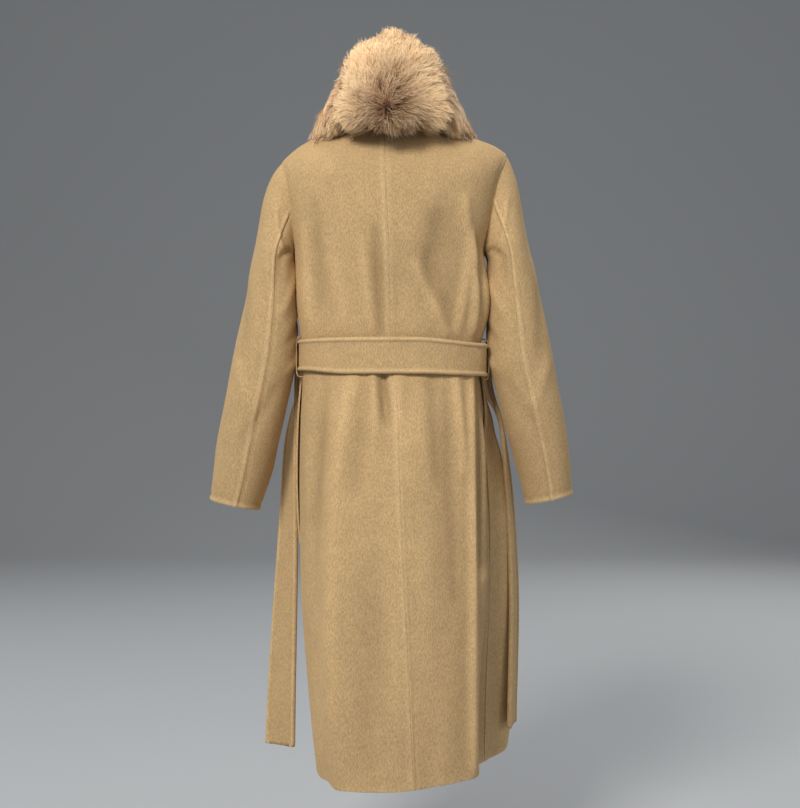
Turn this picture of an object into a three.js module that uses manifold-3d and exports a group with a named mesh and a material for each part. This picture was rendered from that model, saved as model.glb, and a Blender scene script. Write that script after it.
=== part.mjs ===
// A long wool coat, held up by its wearer, seen open at the neck, the hem and the cuffs.
// Millimetres, +Z up, the front faces -Y and the wearer's left is +X.
// The origin is level with the shoulder at the neck, midway between front and back.
import * as THREE from 'three';
import { mergeVertices } from 'three/addons/utils/BufferGeometryUtils.js';
import Module from 'manifold-3d';

// Driving sizes of the cloth and its seams
const WALL = 3;
const SEAM_GAP = 0.3;
const COAT_LENGTH = 1112;
const SQUARENESS = { back: 2.4, front: 2.9 };

// Shoulders, neckline and armholes
const NECK_HALF = 78;
const NECK_RISE = 6;
const NECK_DIP_BACK = 22;
const NECK_DEPTH_FRONT = 215;
const SHOULDERS = {
  left: { slope: 0.45, drop: 0.006, dropFrom: 140 },
  right: { slope: 0.34, drop: 0.008, dropFrom: 172 },
};
const SHOULDER_ROUND = { centre: 130, point: 78 };
const SHOULDER_POINT_ANGLE = 20;
const UNDERARM_Z = -215;
const ARMHOLE_SHAPE = 3;
const ARMHOLE_KNEE_Z = -185;
const FRONT_LAP = 42;
const LAP_STEP = WALL + 3.4;

// Level sections of the body: half widths, depths behind and in front, and how far the right side
// swings forward
const SECTIONS = [
  { z: 40, left: 198, right: 212, back: 100, front: 92, swing: 0 },
  { z: -60, left: 198, right: 212, back: 102, front: 94, swing: 0 },
  { z: -100, left: 188, right: 196, back: 109, front: 101, swing: 0 },
  { z: -140, left: 180, right: 185, back: 112, front: 107, swing: 0 },
  { z: -185, left: 173, right: 174, back: 112, front: 110, swing: 0 },
  { z: -225, left: 165, right: 162, back: 110, front: 110, swing: 0 },
  { z: -300, left: 157, right: 160, back: 102, front: 103, swing: 0 },
  { z: -357, left: 153, right: 156, back: 96, front: 97, swing: 0 },
  { z: -405, left: 151, right: 157, back: 93, front: 94, swing: 0 },
  { z: -460, left: 153, right: 167, back: 106, front: 104, swing: 0.06 },
  { z: -520, left: 156, right: 184, back: 120, front: 116, swing: 0.14 },
  { z: -654, left: 157, right: 195, back: 138, front: 138, swing: 0.24 },
  { z: -810, left: 154, right: 196, back: 150, front: 158, swing: 0.3 },
  { z: -932, left: 146, right: 192, back: 158, front: 170, swing: 0.34 },
  { z: -1112, left: 128, right: 187, back: 170, front: 185, swing: 0.36 },
];

// Sideways place of the centre-back seam at each height
const BACK_SEAM = [
  { z: 20, x: 11 },
  { z: -90, x: 10 },
  { z: -240, x: 4 },
  { z: -405, x: 0 },
  { z: -520, x: -10 },
  { z: -730, x: -19 },
  { z: -890, x: -27 },
  { z: -1112, x: -37 },
];

// Long folds: angle round the body in degrees (0 at the wearer's left side, 90 at the back),
// angular half width, depth (ridges positive), and the heights where it starts and ends
const FOLDS = [
  { angle: 176, width: 12, depth: -24, top: -440, bottom: -1112 },
  { angle: 152, width: 7, depth: 7, top: -430, bottom: -1112 },
  { angle: 97, width: 6, depth: -8, top: -400, bottom: -640 },
  { angle: 62, width: 8, depth: 7, top: -430, bottom: -1112 },
  { angle: 40, width: 8, depth: -6, top: -450, bottom: -1112 },
  { angle: 124, width: 10, depth: -5, top: -460, bottom: -1112 },
  { angle: 95, width: 6, depth: -5, top: -200, bottom: -390 },
  { angle: 118, width: 7, depth: 5, top: -180, bottom: -380 },
  { angle: 236, width: 9, depth: -9, top: -460, bottom: -1112 },
  { angle: 212, width: 9, depth: 8, top: -460, bottom: -1112 },
  { angle: 318, width: 10, depth: -9, top: -460, bottom: -1112 },
  { angle: 342, width: 9, depth: 7, top: -460, bottom: -1112 },
  { angle: 290, width: 9, depth: 6, top: -460, bottom: -1112 },
];
const FOLD_FADE = 120;

// Sleeve rings: centre, half sizes across and front to back, and the tilt of the ring outwards
const SLEEVES = {
  left: {
    backSeam: 98,
    rings: [
      { z: -240, x: 204.5, y: 2, across: 35, deep: 62, tilt: 0 },
      { z: -315, x: 211, y: 4, across: 43, deep: 60, tilt: 0.03 },
      { z: -399, x: 222, y: 4, across: 50, deep: 57, tilt: 0.07 },
      { z: -483, x: 235, y: 0, across: 53, deep: 54, tilt: 0.11 },
      { z: -567, x: 253, y: -12, across: 52, deep: 51, tilt: 0.16 },
      { z: -612, x: 262, y: -20, across: 49, deep: 49, tilt: 0.19 },
      { z: -664, x: 275, y: -30, across: 43.5, deep: 46, tilt: 0.22 },
    ],
  },
  right: {
    backSeam: 89,
    rings: [
      { z: -240, x: 209, y: 2, across: 39, deep: 62, tilt: 0 },
      { z: -304, x: 217, y: 4, across: 46, deep: 60, tilt: 0.03 },
      { z: -409, x: 231, y: 4, across: 53.5, deep: 57, tilt: 0.07 },
      { z: -453, x: 238, y: 2, across: 54, deep: 55, tilt: 0.1 },
      { z: -523, x: 254, y: -6, across: 52, deep: 52, tilt: 0.14 },
      { z: -579, x: 268, y: -16, across: 47, deep: 49, tilt: 0.18 },
      { z: -654, x: 282, y: -30, across: 41.5, deep: 45, tilt: 0.22 },
    ],
  },
};
const FRONT_SEAM_ANGLE = -112;
const CAP_GAP = { over: 2.1, under: 2.4 };
// How far outwards a sleeve's cap leaves the shoulder, as a share of its way down
const CAP_SPREAD = { left: 0.72, right: 0.5, under: 0.12 };
const CAP_ARRIVE = 0.1;

// Belt: width, thickness, height of its middle, and the two hanging ends
const BELT = { width: 62, thick: 5, edge: 7, middle: -405, clear: 1.3 };
const BELT_END = { angle: 19, slant: 10, from: 0.72 };
const TAIL_SLANT_FADE = 100;
const TAILS = {
  left: [
    { z: -405, x: 160.2, y: -51, turn: 97 },
    { z: -470, x: 167.5, y: -52, turn: 86 },
    { z: -549, x: 176, y: -52, turn: 68 },
    { z: -654, x: 181, y: -48, turn: 60 },
    { z: -810, x: 186, y: -42, turn: 47 },
    { z: -932, x: 190, y: -38, turn: 38 },
    { z: -1092, x: 196, y: -34, turn: 28 },
  ],
  right: [
    { z: -405, x: 170.1, y: -55, turn: 98 },
    { z: -460, x: 176.6, y: -60, turn: 92 },
    { z: -520, x: 199, y: -66, turn: 86 },
    { z: -631, x: 213, y: -68, turn: 78 },
    { z: -810, x: 221, y: -64, turn: 74 },
    { z: -932, x: 222, y: -60, turn: 74 },
    { z: -1062, x: 221, y: -56, turn: 75 },
  ],
};
const LOOP = { width: 10, height: 78, thick: 2.5, angle: 6 };

// Fur collar from the centre back to the end on the chest: centre, the way the fur faces,
// and half sizes across the fur and through it
const COLLAR_SHIFT = -5;
const COLLAR = [
  { x: 0, y: 98, z: 60, nx: 0, ny: 0.97, nz: 0.24, half: 93, thick: 43 },
  { x: 46, y: 86, z: 56, nx: 0.42, ny: 0.86, nz: 0.28, half: 88, thick: 41 },
  { x: 84, y: 50, z: 38, nx: 0.8, ny: 0.44, nz: 0.4, half: 76, thick: 38 },
  { x: 99, y: 2, z: 24, nx: 0.86, ny: 0, nz: 0.5, half: 64, thick: 35 },
  { x: 94, y: -46, z: 4, nx: 0.76, ny: -0.45, nz: 0.46, half: 52, thick: 30 },
  { x: 84, y: -92, z: -42, nx: 0.45, ny: -0.8, nz: 0.4, half: 45, thick: 27 },
  { x: 68, y: -122, z: -98, nx: 0.25, ny: -0.95, nz: 0.2, half: 40, thick: 25 },
  { x: 54, y: -133, z: -150, nx: 0.12, ny: -0.98, nz: 0.1, half: 34, thick: 22 },
  { x: 48, y: -134, z: -184, nx: 0.08, ny: -0.99, nz: 0.05, half: 14, thick: 9 },
];
const COLLAR_CUT = 16;

// Mesh steps
const STEPS = {
  lowerRows: 15, upperRows: 7, yokeColumns: 10, armholeColumns: 4, neckColumns: 4,
  sleeveCapRows: 5, sleeveRows: 9, upperSleeve: 11, underSleeve: 8,
  belt: 40, tail: 14, collar: 34, collarRound: 14,
};

const cloth = new THREE.MeshStandardMaterial({ color: 0xb89a68, roughness: 0.95, metalness: 0 });
const fur = new THREE.MeshStandardMaterial({ color: 0xc9a682, roughness: 1, metalness: 0 });

const clamp = (v, low, high) => Math.min(high, Math.max(low, v));
const lerp = (a, b, t) => a + (b - a) * t;
const radians = (degrees) => degrees * Math.PI / 180;
const power = (v, exponent) => Math.sign(v) * Math.abs(v) ** exponent;
const smooth = (t) => {
  const c = clamp(t, 0, 1);
  return c * c * (3 - 2 * c);
};

// Smooth curve through a table's rows, read at one value of its first column
function read(rows, by, key, at) {
  const falling = rows[0][by] > rows[rows.length - 1][by];
  let i = 0;
  while (i < rows.length - 2 && (falling ? at < rows[i + 1][by] : at > rows[i + 1][by])) {
    i += 1;
  }
  const slope = (j) => {
    const before = rows[Math.max(j - 1, 0)];
    const after = rows[Math.min(j + 1, rows.length - 1)];
    return (after[key] - before[key]) / (after[by] - before[by]);
  };
  const span = rows[i + 1][by] - rows[i][by];
  const t = clamp((at - rows[i][by]) / span, 0, 1);
  const t2 = t * t;
  const t3 = t2 * t;
  return (2 * t3 - 3 * t2 + 1) * rows[i][key] + (t3 - 2 * t2 + t) * span * slope(i)
    + (3 * t2 - 2 * t3) * rows[i + 1][key] + (t3 - t2) * span * slope(i + 1);
}

// Height of the shoulder line over one sideways place
function ridge(x) {
  const far = Math.abs(x);
  const shoulder = x > 0 ? SHOULDERS.left : SHOULDERS.right;
  const drop = shoulder.slope * Math.max(far - NECK_HALF, 0)
    + shoulder.drop * Math.max(far - shoulder.dropFrom, 0) ** 2;
  return NECK_RISE * Math.max(1 - (far / NECK_HALF) ** 2, 0) - drop;
}

// How far the body has opened below the shoulder line, from 0 on it to 1
function opening(x, z) {
  const far = clamp(Math.abs(x) / 190, 0, 1);
  const round = lerp(SHOULDER_ROUND.centre, SHOULDER_ROUND.point, far);
  const t = clamp((ridge(x) - z) / round, 0, 1);
  return Math.sqrt(1 - (1 - t) ** 2);
}

// One point of the body. side is 1 for the wearer's left, face is 1 for the back, and the angle
// runs from 0 at the side seam to 90 at the middle
function bodyPoint(side, face, angle, z) {
  const a = radians(angle);
  const e = 2 / (face > 0 ? SQUARENESS.back : SQUARENESS.front);
  const across = side * power(Math.cos(a), e);
  const away = face * power(Math.sin(a), e);
  const half = read(SECTIONS, 'z', across > 0 ? 'left' : 'right', z);
  const depth = read(SECTIONS, 'z', away > 0 ? 'back' : 'front', z);
  let x = half * across;
  let y = depth * away * opening(x, z);
  x += y * read(SECTIONS, 'z', 'swing', z) * (1 - across) / 2;
  const turn = (Math.atan2(face * Math.sin(a), side * Math.cos(a)) * 180 / Math.PI + 360) % 360;
  for (const fold of FOLDS) {
    const off = Math.abs(((turn - fold.angle + 540) % 360) - 180) / fold.width;
    const up = smooth((fold.top - z) / FOLD_FADE);
    const down = fold.bottom <= -COAT_LENGTH ? 1 : smooth((z - fold.bottom) / FOLD_FADE);
    const push = fold.depth * Math.exp(-off * off) * up * down;
    x += push * Math.cos(radians(turn));
    y += push * Math.sin(radians(turn));
  }
  return new THREE.Vector3(x, y, z);
}

// Angle of a point of the body at a sideways place, found by halving
function angleAt(side, face, x, z) {
  let low = 20;
  let high = 160;
  for (let i = 0; i < 30; i += 1) {
    const middle = (low + high) / 2;
    if (side * (bodyPoint(side, face, middle, z).x - x) > 0) low = middle;
    else high = middle;
  }
  return (low + high) / 2;
}

// The shoulder point is where the shoulder line meets the armhole. The armhole is a rounded corner
// between it and the underarm
function shoulderPointZ(side) {
  return ridge(bodyPoint(side, 1, SHOULDER_POINT_ANGLE, -30).x);
}
const SHOULDER_POINT_Z = { left: shoulderPointZ(1), right: shoulderPointZ(-1) };
const shoulderZ = (side) => (side > 0 ? SHOULDER_POINT_Z.left : SHOULDER_POINT_Z.right);
function armholeAngle(side, z) {
  const down = clamp((shoulderZ(side) - z) / (shoulderZ(side) - UNDERARM_Z), 0, 1);
  return SHOULDER_POINT_ANGLE * (1 - down ** ARMHOLE_SHAPE) ** (1 / ARMHOLE_SHAPE);
}
function armholeZ(side, angle) {
  const out = clamp(angle / SHOULDER_POINT_ANGLE, 0, 1);
  const rise = (1 - out ** ARMHOLE_SHAPE) ** (1 / ARMHOLE_SHAPE);
  return lerp(shoulderZ(side), UNDERARM_Z, rise);
}

// Height of the neckline in the middle of a panel
function necklineZ(side, face, x, grow) {
  const along = clamp(side * x / NECK_HALF, -1, 1);
  if (face > 0) return ridge(x) - NECK_DIP_BACK * Math.cos(along * Math.PI / 2) ** 2;
  return -NECK_DEPTH_FRONT * (1 - along) + 3 * grow;
}

// A sheet of triangles given a wall along its normals, closed all round its edge
function thicken(points, normals, triangles, inside) {
  const count = points.length;
  const positions = [];
  for (const p of points) positions.push(p.x, p.y, p.z);
  points.forEach((p, i) => {
    const q = p.clone().addScaledVector(normals[i], -inside);
    positions.push(q.x, q.y, q.z);
  });
  const index = [];
  const edges = new Map();
  for (const [a, b, c] of triangles) {
    index.push(a, b, c, count + a, count + c, count + b);
    for (const [from, to] of [[a, b], [b, c], [c, a]]) {
      const back = `${to},${from}`;
      if (edges.has(back)) edges.delete(back);
      else edges.set(`${from},${to}`, [from, to]);
    }
  }
  for (const [from, to] of edges.values()) {
    index.push(from, count + from, to, to, count + from, count + to);
  }
  const geometry = new THREE.BufferGeometry();
  geometry.setAttribute('position', new THREE.Float32BufferAttribute(positions, 3));
  geometry.setIndex(index);
  return geometry;
}

// Cells between rows of point numbers, turned so that their faces look outwards
function weave(rows, flip) {
  const triangles = [];
  for (let r = 0; r + 1 < rows.length; r += 1) {
    for (const key of Object.keys(rows[r])) {
      const i = Number(key);
      const a = rows[r][i];
      const b = rows[r][i + 1];
      const c = rows[r + 1][i + 1];
      const d = rows[r + 1][i];
      if ([a, b, c, d].includes(undefined)) continue;
      if (flip) triangles.push([a, c, b], [a, d, c]);
      else triangles.push([a, b, c], [a, c, d]);
    }
  }
  return triangles;
}

// Outward normal of the body, from three points close together
function bodyNormal(side, face, angle, z, atRidge) {
  const h = 0.4;
  const here = bodyPoint(side, face, angle, z);
  if (atRidge) {
    const slope = (ridge(here.x + h) - ridge(here.x - h)) / (2 * h);
    return new THREE.Vector3(-slope, 0, 1).normalize();
  }
  const u = bodyPoint(side, face, angle + h, z).sub(bodyPoint(side, face, angle - h, z));
  const v = bodyPoint(side, face, angle, z).sub(bodyPoint(side, face, angle, z - 2 * h));
  const n = u.cross(v).normalize();
  return n.multiplyScalar(side * face);
}

// One quarter of the coat. Its upper rows run from the neck edge to the armhole, its lower rows
// from the middle edge to the side seam
function panel(side, face, wall = WALL, grow = 0) {
  const gapAngle = 0.06;
  const gap = grow > 0 ? -SEAM_GAP : SEAM_GAP / 2;
  const middle = (z) => {
    if (face > 0) return angleAt(side, face, read(BACK_SEAM, 'z', 'x', z) + side * gap, z);
    return angleAt(side, face, -side * FRONT_LAP, z);
  };
  const kneeAngle = armholeAngle(side, ARMHOLE_KNEE_Z);
  const neckColumns = face > 0 ? 0 : STEPS.neckColumns;
  const neckX = (z) => side * (NECK_HALF * (1 + z / NECK_DEPTH_FRONT) - grow);
  const neckAngle = (z) => (face > 0 ? middle(z) : angleAt(side, face, neckX(z), z));
  const last = neckColumns + STEPS.yokeColumns;
  const total = last + STEPS.armholeColumns;
  const splitAngle = [];
  const splitZ = [];
  for (let i = 0; i <= total; i += 1) {
    if (i < neckColumns) {
      const x = lerp(-side * FRONT_LAP, neckX(ARMHOLE_KNEE_Z), i / neckColumns);
      splitZ[i] = necklineZ(side, face, x, grow);
      splitAngle[i] = angleAt(side, face, x, splitZ[i]);
    } else if (i <= last) {
      splitZ[i] = ARMHOLE_KNEE_Z;
      splitAngle[i] = lerp(neckAngle(ARMHOLE_KNEE_Z), kneeAngle, (i - neckColumns) / STEPS.yokeColumns);
    } else {
      splitAngle[i] = lerp(kneeAngle, gapAngle, (i - last) / STEPS.armholeColumns);
      splitZ[i] = armholeZ(side, splitAngle[i]);
    }
  }
  const points = [];
  const normals = [];
  const rows = [];
  const lapStep = (x) => (face < 0 && side > 0 ? LAP_STEP * smooth((FRONT_LAP + 22 - x) / 20) : 0);
  const add = (angle, z, atRidge) => {
    const p = bodyPoint(side, face, angle, z);
    const n = bodyNormal(side, face, angle, z, atRidge);
    if (atRidge) p.y = face * gap;
    p.addScaledVector(n, grow - lapStep(p.x));
    points.push(p);
    normals.push(n);
    return points.length - 1;
  };
  for (let r = 0; r <= STEPS.lowerRows; r += 1) {
    const row = {};
    for (let i = 0; i <= total; i += 1) {
      const edge = middle(splitZ[i]);
      const share = (splitAngle[i] - edge) / (gapAngle - edge);
      const z = lerp(-COAT_LENGTH, splitZ[i], r / STEPS.lowerRows);
      row[i] = add(lerp(middle(z), gapAngle, share), z, false);
    }
    rows.push(row);
  }
  for (let r = 1; r <= STEPS.upperRows; r += 1) {
    const row = {};
    const t = r / STEPS.upperRows;
    const left = neckAngle(lerp(ARMHOLE_KNEE_Z, 0, t) - (face > 0 ? 0 : 0.5));
    const right = armholeAngle(side, lerp(ARMHOLE_KNEE_Z, shoulderZ(side), t));
    for (let i = neckColumns; i <= last; i += 1) {
      const share = (i - neckColumns) / STEPS.yokeColumns;
      const angle = lerp(left, right, share);
      const x = bodyPoint(side, face, angle, -30).x;
      const onNeck = face > 0 && Math.abs(x) < NECK_HALF;
      const top = onNeck ? necklineZ(side, face, x, grow) : ridge(x);
      const z = lerp(ARMHOLE_KNEE_Z, top, t);
      row[i] = add(angle, z, r === STEPS.upperRows && !onNeck);
      if (onNeck && r === STEPS.upperRows) points[row[i]].z += grow;
    }
    rows.push(row);
  }
  return thicken(points, normals, weave(rows, side * face > 0), wall);
}

// Points along one half of the armhole, from the shoulder point to the underarm
function armholeEdge(side, face) {
  const steps = 40;
  const edge = [];
  for (let i = 0; i <= steps; i += 1) {
    const t = i / steps * Math.PI / 2;
    const down = Math.sin(t) ** (2 / ARMHOLE_SHAPE);
    const z = lerp(shoulderZ(side), UNDERARM_Z, down);
    const out = Math.cos(t) ** (2 / ARMHOLE_SHAPE);
    const p = bodyPoint(side, face, SHOULDER_POINT_ANGLE * out, z);
    if (i === 0) p.y = 0;
    edge.push(p);
  }
  return new THREE.CatmullRomCurve3(edge);
}
const armholes = {
  left: { back: armholeEdge(1, 1), front: armholeEdge(1, -1) },
  right: { back: armholeEdge(-1, 1), front: armholeEdge(-1, -1) },
};

// One point of a sleeve. The angle is 0 on its outer side, 90 at the back and 180 under the arm.
// The cap is a curve from the armhole to the first ring, and the rest runs through the rings
function sleevePoint(name, angle, along) {
  const side = name === 'left' ? 1 : -1;
  const rings = SLEEVES[name].rings;
  const ring = (z, a) => {
    const r = (key) => read(rings, 'z', key, z);
    const x = r('across') * Math.cos(radians(a));
    const y = r('y') + r('deep') * Math.sin(radians(a));
    return new THREE.Vector3(side * (r('x') + x), y, z + r('tilt') * x);
  };
  const first = rings[0].z;
  const cuff = rings[rings.length - 1].z;
  if (along >= 0) return ring(lerp(first, cuff, along), angle);
  const wrapped = ((angle % 360) + 540) % 360 - 180;
  const half = armholes[name][wrapped >= 0 ? 'back' : 'front'];
  const start = half.getPointAt(clamp(Math.abs(wrapped) / 180, 0, 1));
  const under = (1 - Math.cos(radians(wrapped))) / 2;
  start.x += side * lerp(CAP_GAP.over, CAP_GAP.under, under);
  start.z += SEAM_GAP * under;
  const end = ring(first, angle);
  const reach = end.distanceTo(start);
  const spread = lerp(CAP_SPREAD[name], CAP_SPREAD.under, under);
  const leave = new THREE.Vector3(side * spread, 0, -Math.sqrt(1 - spread * spread));
  const arrive = ring(first - 1, angle).sub(end).normalize();
  arrive.x += side * CAP_ARRIVE * (1 - under);
  const t = along + 1;
  const t2 = t * t;
  const t3 = t2 * t;
  return start.multiplyScalar(2 * t3 - 3 * t2 + 1)
    .addScaledVector(leave, (t3 - 2 * t2 + t) * reach * 1.05)
    .addScaledVector(end, 3 * t2 - 2 * t3)
    .addScaledVector(arrive, (t3 - t2) * reach * 1.05);
}

// A strip of a sleeve between two of its seams
function sleeve(name, from, to, columns) {
  const side = name === 'left' ? 1 : -1;
  const points = [];
  const normals = [];
  const rows = [];
  const half = SEAM_GAP / 2 / radians(35);
  const h = 0.01;
  for (let r = -STEPS.sleeveCapRows; r <= STEPS.sleeveRows; r += 1) {
    const row = {};
    const along = r < 0 ? r / STEPS.sleeveCapRows : r / STEPS.sleeveRows;
    for (let i = 0; i <= columns; i += 1) {
      const angle = lerp(from + half, to - half, i / columns);
      const v0 = clamp(along, -1, 1 - h);
      const u = sleevePoint(name, angle + 1, along).sub(sleevePoint(name, angle - 1, along));
      const v = sleevePoint(name, angle, v0 + h).sub(sleevePoint(name, angle, v0));
      row[i] = points.length;
      points.push(sleevePoint(name, angle, along));
      normals.push(u.cross(v).normalize().multiplyScalar(-side));
    }
    rows.push(row);
  }
  return thicken(points, normals, weave(rows, side > 0), WALL);
}

// Section of the belt: across its width from -1 to 1, and out through its thickness, with a
// thicker roll along both edges
const beltSection = [
  [-1, -0.5 * BELT.edge], [-1, 0.5 * BELT.edge], [-0.8, 0.5 * BELT.edge], [-0.72, 0.5 * BELT.thick],
  [0.72, 0.5 * BELT.thick], [0.8, 0.5 * BELT.edge], [1, 0.5 * BELT.edge], [1, -0.5 * BELT.edge],
  [0.8, -0.5 * BELT.edge], [0.72, -0.5 * BELT.thick], [-0.72, -0.5 * BELT.thick],
  [-0.8, -0.5 * BELT.edge],
];

// A closed solid through rings of points, with flat ends
function loft(rings) {
  const n = rings[0].length;
  const positions = rings.flat().flatMap((p) => [p.x, p.y, p.z]);
  const index = [];
  for (let r = 0; r + 1 < rings.length; r += 1) {
    for (let i = 0; i < n; i += 1) {
      const a = r * n + i;
      const b = r * n + (i + 1) % n;
      index.push(a, b, b + n, a, b + n, a + n);
    }
  }
  const outline = rings.map((ring) => ring);
  for (const [r, flip] of [[0, true], [rings.length - 1, false]]) {
    const ring = outline[r];
    const wide = ring[Math.floor(n / 2)].clone().sub(ring[0]).normalize();
    const deep = ring[1].clone().sub(ring[0]).normalize();
    const flat = ring.map((p) => new THREE.Vector2(
      p.clone().sub(ring[0]).dot(wide), p.clone().sub(ring[0]).dot(deep)));
    for (const [a, b, c] of THREE.ShapeUtils.triangulateShape(flat, [])) {
      if (flip) index.push(r * n + a, r * n + b, r * n + c);
      else index.push(r * n + a, r * n + c, r * n + b);
    }
  }
  const geometry = new THREE.BufferGeometry();
  geometry.setAttribute('position', new THREE.Float32BufferAttribute(positions, 3));
  geometry.setIndex(index);
  return outward(geometry);
}

// Turns a closed geometry the right way out
function outward(geometry) {
  const p = geometry.attributes.position;
  const index = geometry.index.array;
  let volume = 0;
  for (let i = 0; i < index.length; i += 3) {
    const [a, b, c] = [0, 1, 2].map((j) => new THREE.Vector3().fromBufferAttribute(p, index[i + j]));
    volume += a.dot(b.cross(c));
  }
  if (volume < 0) {
    for (let i = 0; i < index.length; i += 3) {
      [index[i], index[i + 1]] = [index[i + 1], index[i]];
    }
  }
  return geometry;
}

// Where the middle of the belt lies at one turn round the waist, and the way it faces
function beltPlace(turn) {
  const side = turn < 90 ? 1 : -1;
  const face = turn >= 0 && turn <= 180 ? 1 : -1;
  const angle = side > 0 ? Math.abs(turn) : Math.abs(180 - turn);
  const out = bodyNormal(side, face, clamp(angle, 0.5, 89.5), BELT.middle, false).setZ(0).normalize();
  const middle = bodyPoint(side, face, angle, BELT.middle);
  const reach = [-0.5, -0.25, 0, 0.25, 0.5].map(
    (lift) => bodyPoint(side, face, angle, BELT.middle + lift * BELT.width).dot(out));
  middle.addScaledVector(out, Math.max(...reach) + BELT.edge / 2 + BELT.clear - middle.dot(out));
  return { middle, out };
}

// The stretch of the belt round the back. Each end is cut on the slant where the belt folds down
function beltWaist() {
  const rings = [];
  for (let i = 0; i <= STEPS.belt; i += 1) {
    const t = 2 * i / STEPS.belt - 1;
    const turn = 90 + t * (90 + BELT_END.angle);
    const slant = -Math.sign(t) * BELT_END.slant * smooth((Math.abs(t) - BELT_END.from) / (1 - BELT_END.from));
    rings.push(beltSection.map(([w, n]) => {
      const place = beltPlace(turn + slant * w);
      place.middle.z += w * BELT.width / 2;
      return place.middle.addScaledVector(place.out, n);
    }));
  }
  return loft(rings);
}

// One hanging end of the belt, its top cut on the slant of the fold
function beltTail(name) {
  const side = name === 'left' ? 1 : -1;
  const rows = TAILS[name];
  const rings = [];
  for (let i = 0; i <= STEPS.tail; i += 1) {
    const z = lerp(rows[0].z, rows[rows.length - 1].z, i / STEPS.tail);
    const turn = radians(read(rows, 'z', 'turn', z));
    const slant = -smooth(1 - (rows[0].z - z) / TAIL_SLANT_FADE);
    const wide = new THREE.Vector3(side * Math.cos(turn), -Math.sin(turn), slant);
    const out = new THREE.Vector3(side * Math.sin(turn), Math.cos(turn), 0);
    const middle = new THREE.Vector3(side * read(rows, 'z', 'x', z), read(rows, 'z', 'y', z), z);
    rings.push(beltSection.map(([w, n]) => middle.clone()
      .addScaledVector(wide, w * BELT.width / 2).addScaledVector(out, n)));
  }
  return loft(rings);
}

// A belt loop on the side of the coat: a flat strip that stands off over the belt
function beltLoop(side) {
  const off = BELT.edge + 2 * BELT.clear;
  const reach = Math.max(...[-0.5, 0, 0.5].map(
    (k) => side * bodyPoint(side, 1, LOOP.angle, BELT.middle + k * BELT.width).x));
  const outer = reach + off + LOOP.thick + 1.2;
  const half = LOOP.height / 2;
  const gate = BELT.width / 2 + BELT.clear;
  const foot = (k) => 2.6 * SEAM_GAP + Math.max(...[half, gate].flatMap((height) => (
    [1, LOOP.angle, 2 * LOOP.angle].map(
      (angle) => side * bodyPoint(side, 1, angle, BELT.middle + k * height).x))));
  const y = bodyPoint(side, 1, LOOP.angle, BELT.middle).y;
  const shape = new THREE.Shape();
  const inner = outer - LOOP.thick;
  shape.moveTo(foot(1), half);
  shape.lineTo(outer - 2, half);
  shape.lineTo(outer, half - 3);
  shape.lineTo(outer, -half + 3);
  shape.lineTo(outer - 2, -half);
  shape.lineTo(foot(-1), -half);
  shape.lineTo(foot(-1), -gate - 0.4);
  shape.lineTo(inner, -gate - 0.4);
  shape.lineTo(inner, gate + 0.4);
  shape.lineTo(foot(1), gate + 0.4);
  const geometry = new THREE.ExtrudeGeometry(shape, { depth: LOOP.width, bevelEnabled: false });
  geometry.rotateX(Math.PI / 2);
  geometry.translate(0, LOOP.width / 2 + y, BELT.middle);
  if (side < 0) geometry.rotateZ(Math.PI).translate(0, 2 * y, 0);
  return geometry;
}

// The fur collar: rounded sections along a line round the neck and down to the chest
function collarSolid() {
  const rings = [];
  const last = COLLAR.length - 1;
  const rows = COLLAR.map((row, i) => ({ ...row, i }));
  const at = (u) => {
    const side = u < 0 ? -1 : 1;
    const i = Math.abs(u) * last;
    const r = (key) => read(rows, 'i', key, i);
    return {
      centre: new THREE.Vector3(COLLAR_SHIFT + side * r('x'), r('y'), r('z')),
      face: new THREE.Vector3(side * r('nx'), r('ny'), r('nz')),
      half: r('half'),
      thick: r('thick'),
    };
  };
  for (let k = 0; k <= STEPS.collar; k += 1) {
    const u = lerp(-1, 1, k / STEPS.collar);
    const here = at(u);
    const path = at(clamp(u + 0.01, -1, 1)).centre.sub(at(clamp(u - 0.01, -1, 1)).centre).normalize();
    const wide = here.face.clone().cross(path).normalize();
    const face = path.clone().cross(wide).normalize();
    const ring = [];
    for (let i = 0; i < STEPS.collarRound; i += 1) {
      const a = i / STEPS.collarRound * 2 * Math.PI;
      ring.push(here.centre.clone()
        .addScaledVector(wide, here.half * power(Math.cos(a), 0.85))
        .addScaledVector(face, here.thick * power(Math.sin(a), 0.85)));
    }
    rings.push(ring);
  }
  return loft(rings);
}

// Solids are joined and cut by a small library, from and back to plain geometries
const solids = await Module();
solids.setup();
function toSolid(geometry) {
  const plain = geometry.clone();
  plain.deleteAttribute('normal');
  plain.deleteAttribute('uv');
  const merged = mergeVertices(plain, 1e-4);
  return new solids.Manifold(new solids.Mesh({
    numProp: 3,
    vertProperties: new Float32Array(merged.attributes.position.array),
    triVerts: new Uint32Array(merged.index.array),
  }));
}
function fromSolid(solid) {
  const mesh = solid.getMesh();
  const geometry = new THREE.BufferGeometry();
  geometry.setAttribute('position', new THREE.BufferAttribute(new Float32Array(mesh.vertProperties), 3));
  geometry.setIndex(new THREE.BufferAttribute(new Uint32Array(mesh.triVerts), 1));
  return geometry;
}

// The collar rests on the coat: the coat's outer face, grown by a hair, is cut out of it
function collar() {
  let solid = toSolid(collarSolid());
  for (const side of [1, -1]) {
    for (const face of [1, -1]) {
      solid = solid.subtract(toSolid(panel(side, face, COLLAR_CUT, 2 * SEAM_GAP)));
    }
  }
  const parts = solid.decompose();
  parts.sort((a, b) => b.volume() - a.volume());
  return fromSolid(parts[0]);
}

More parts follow.
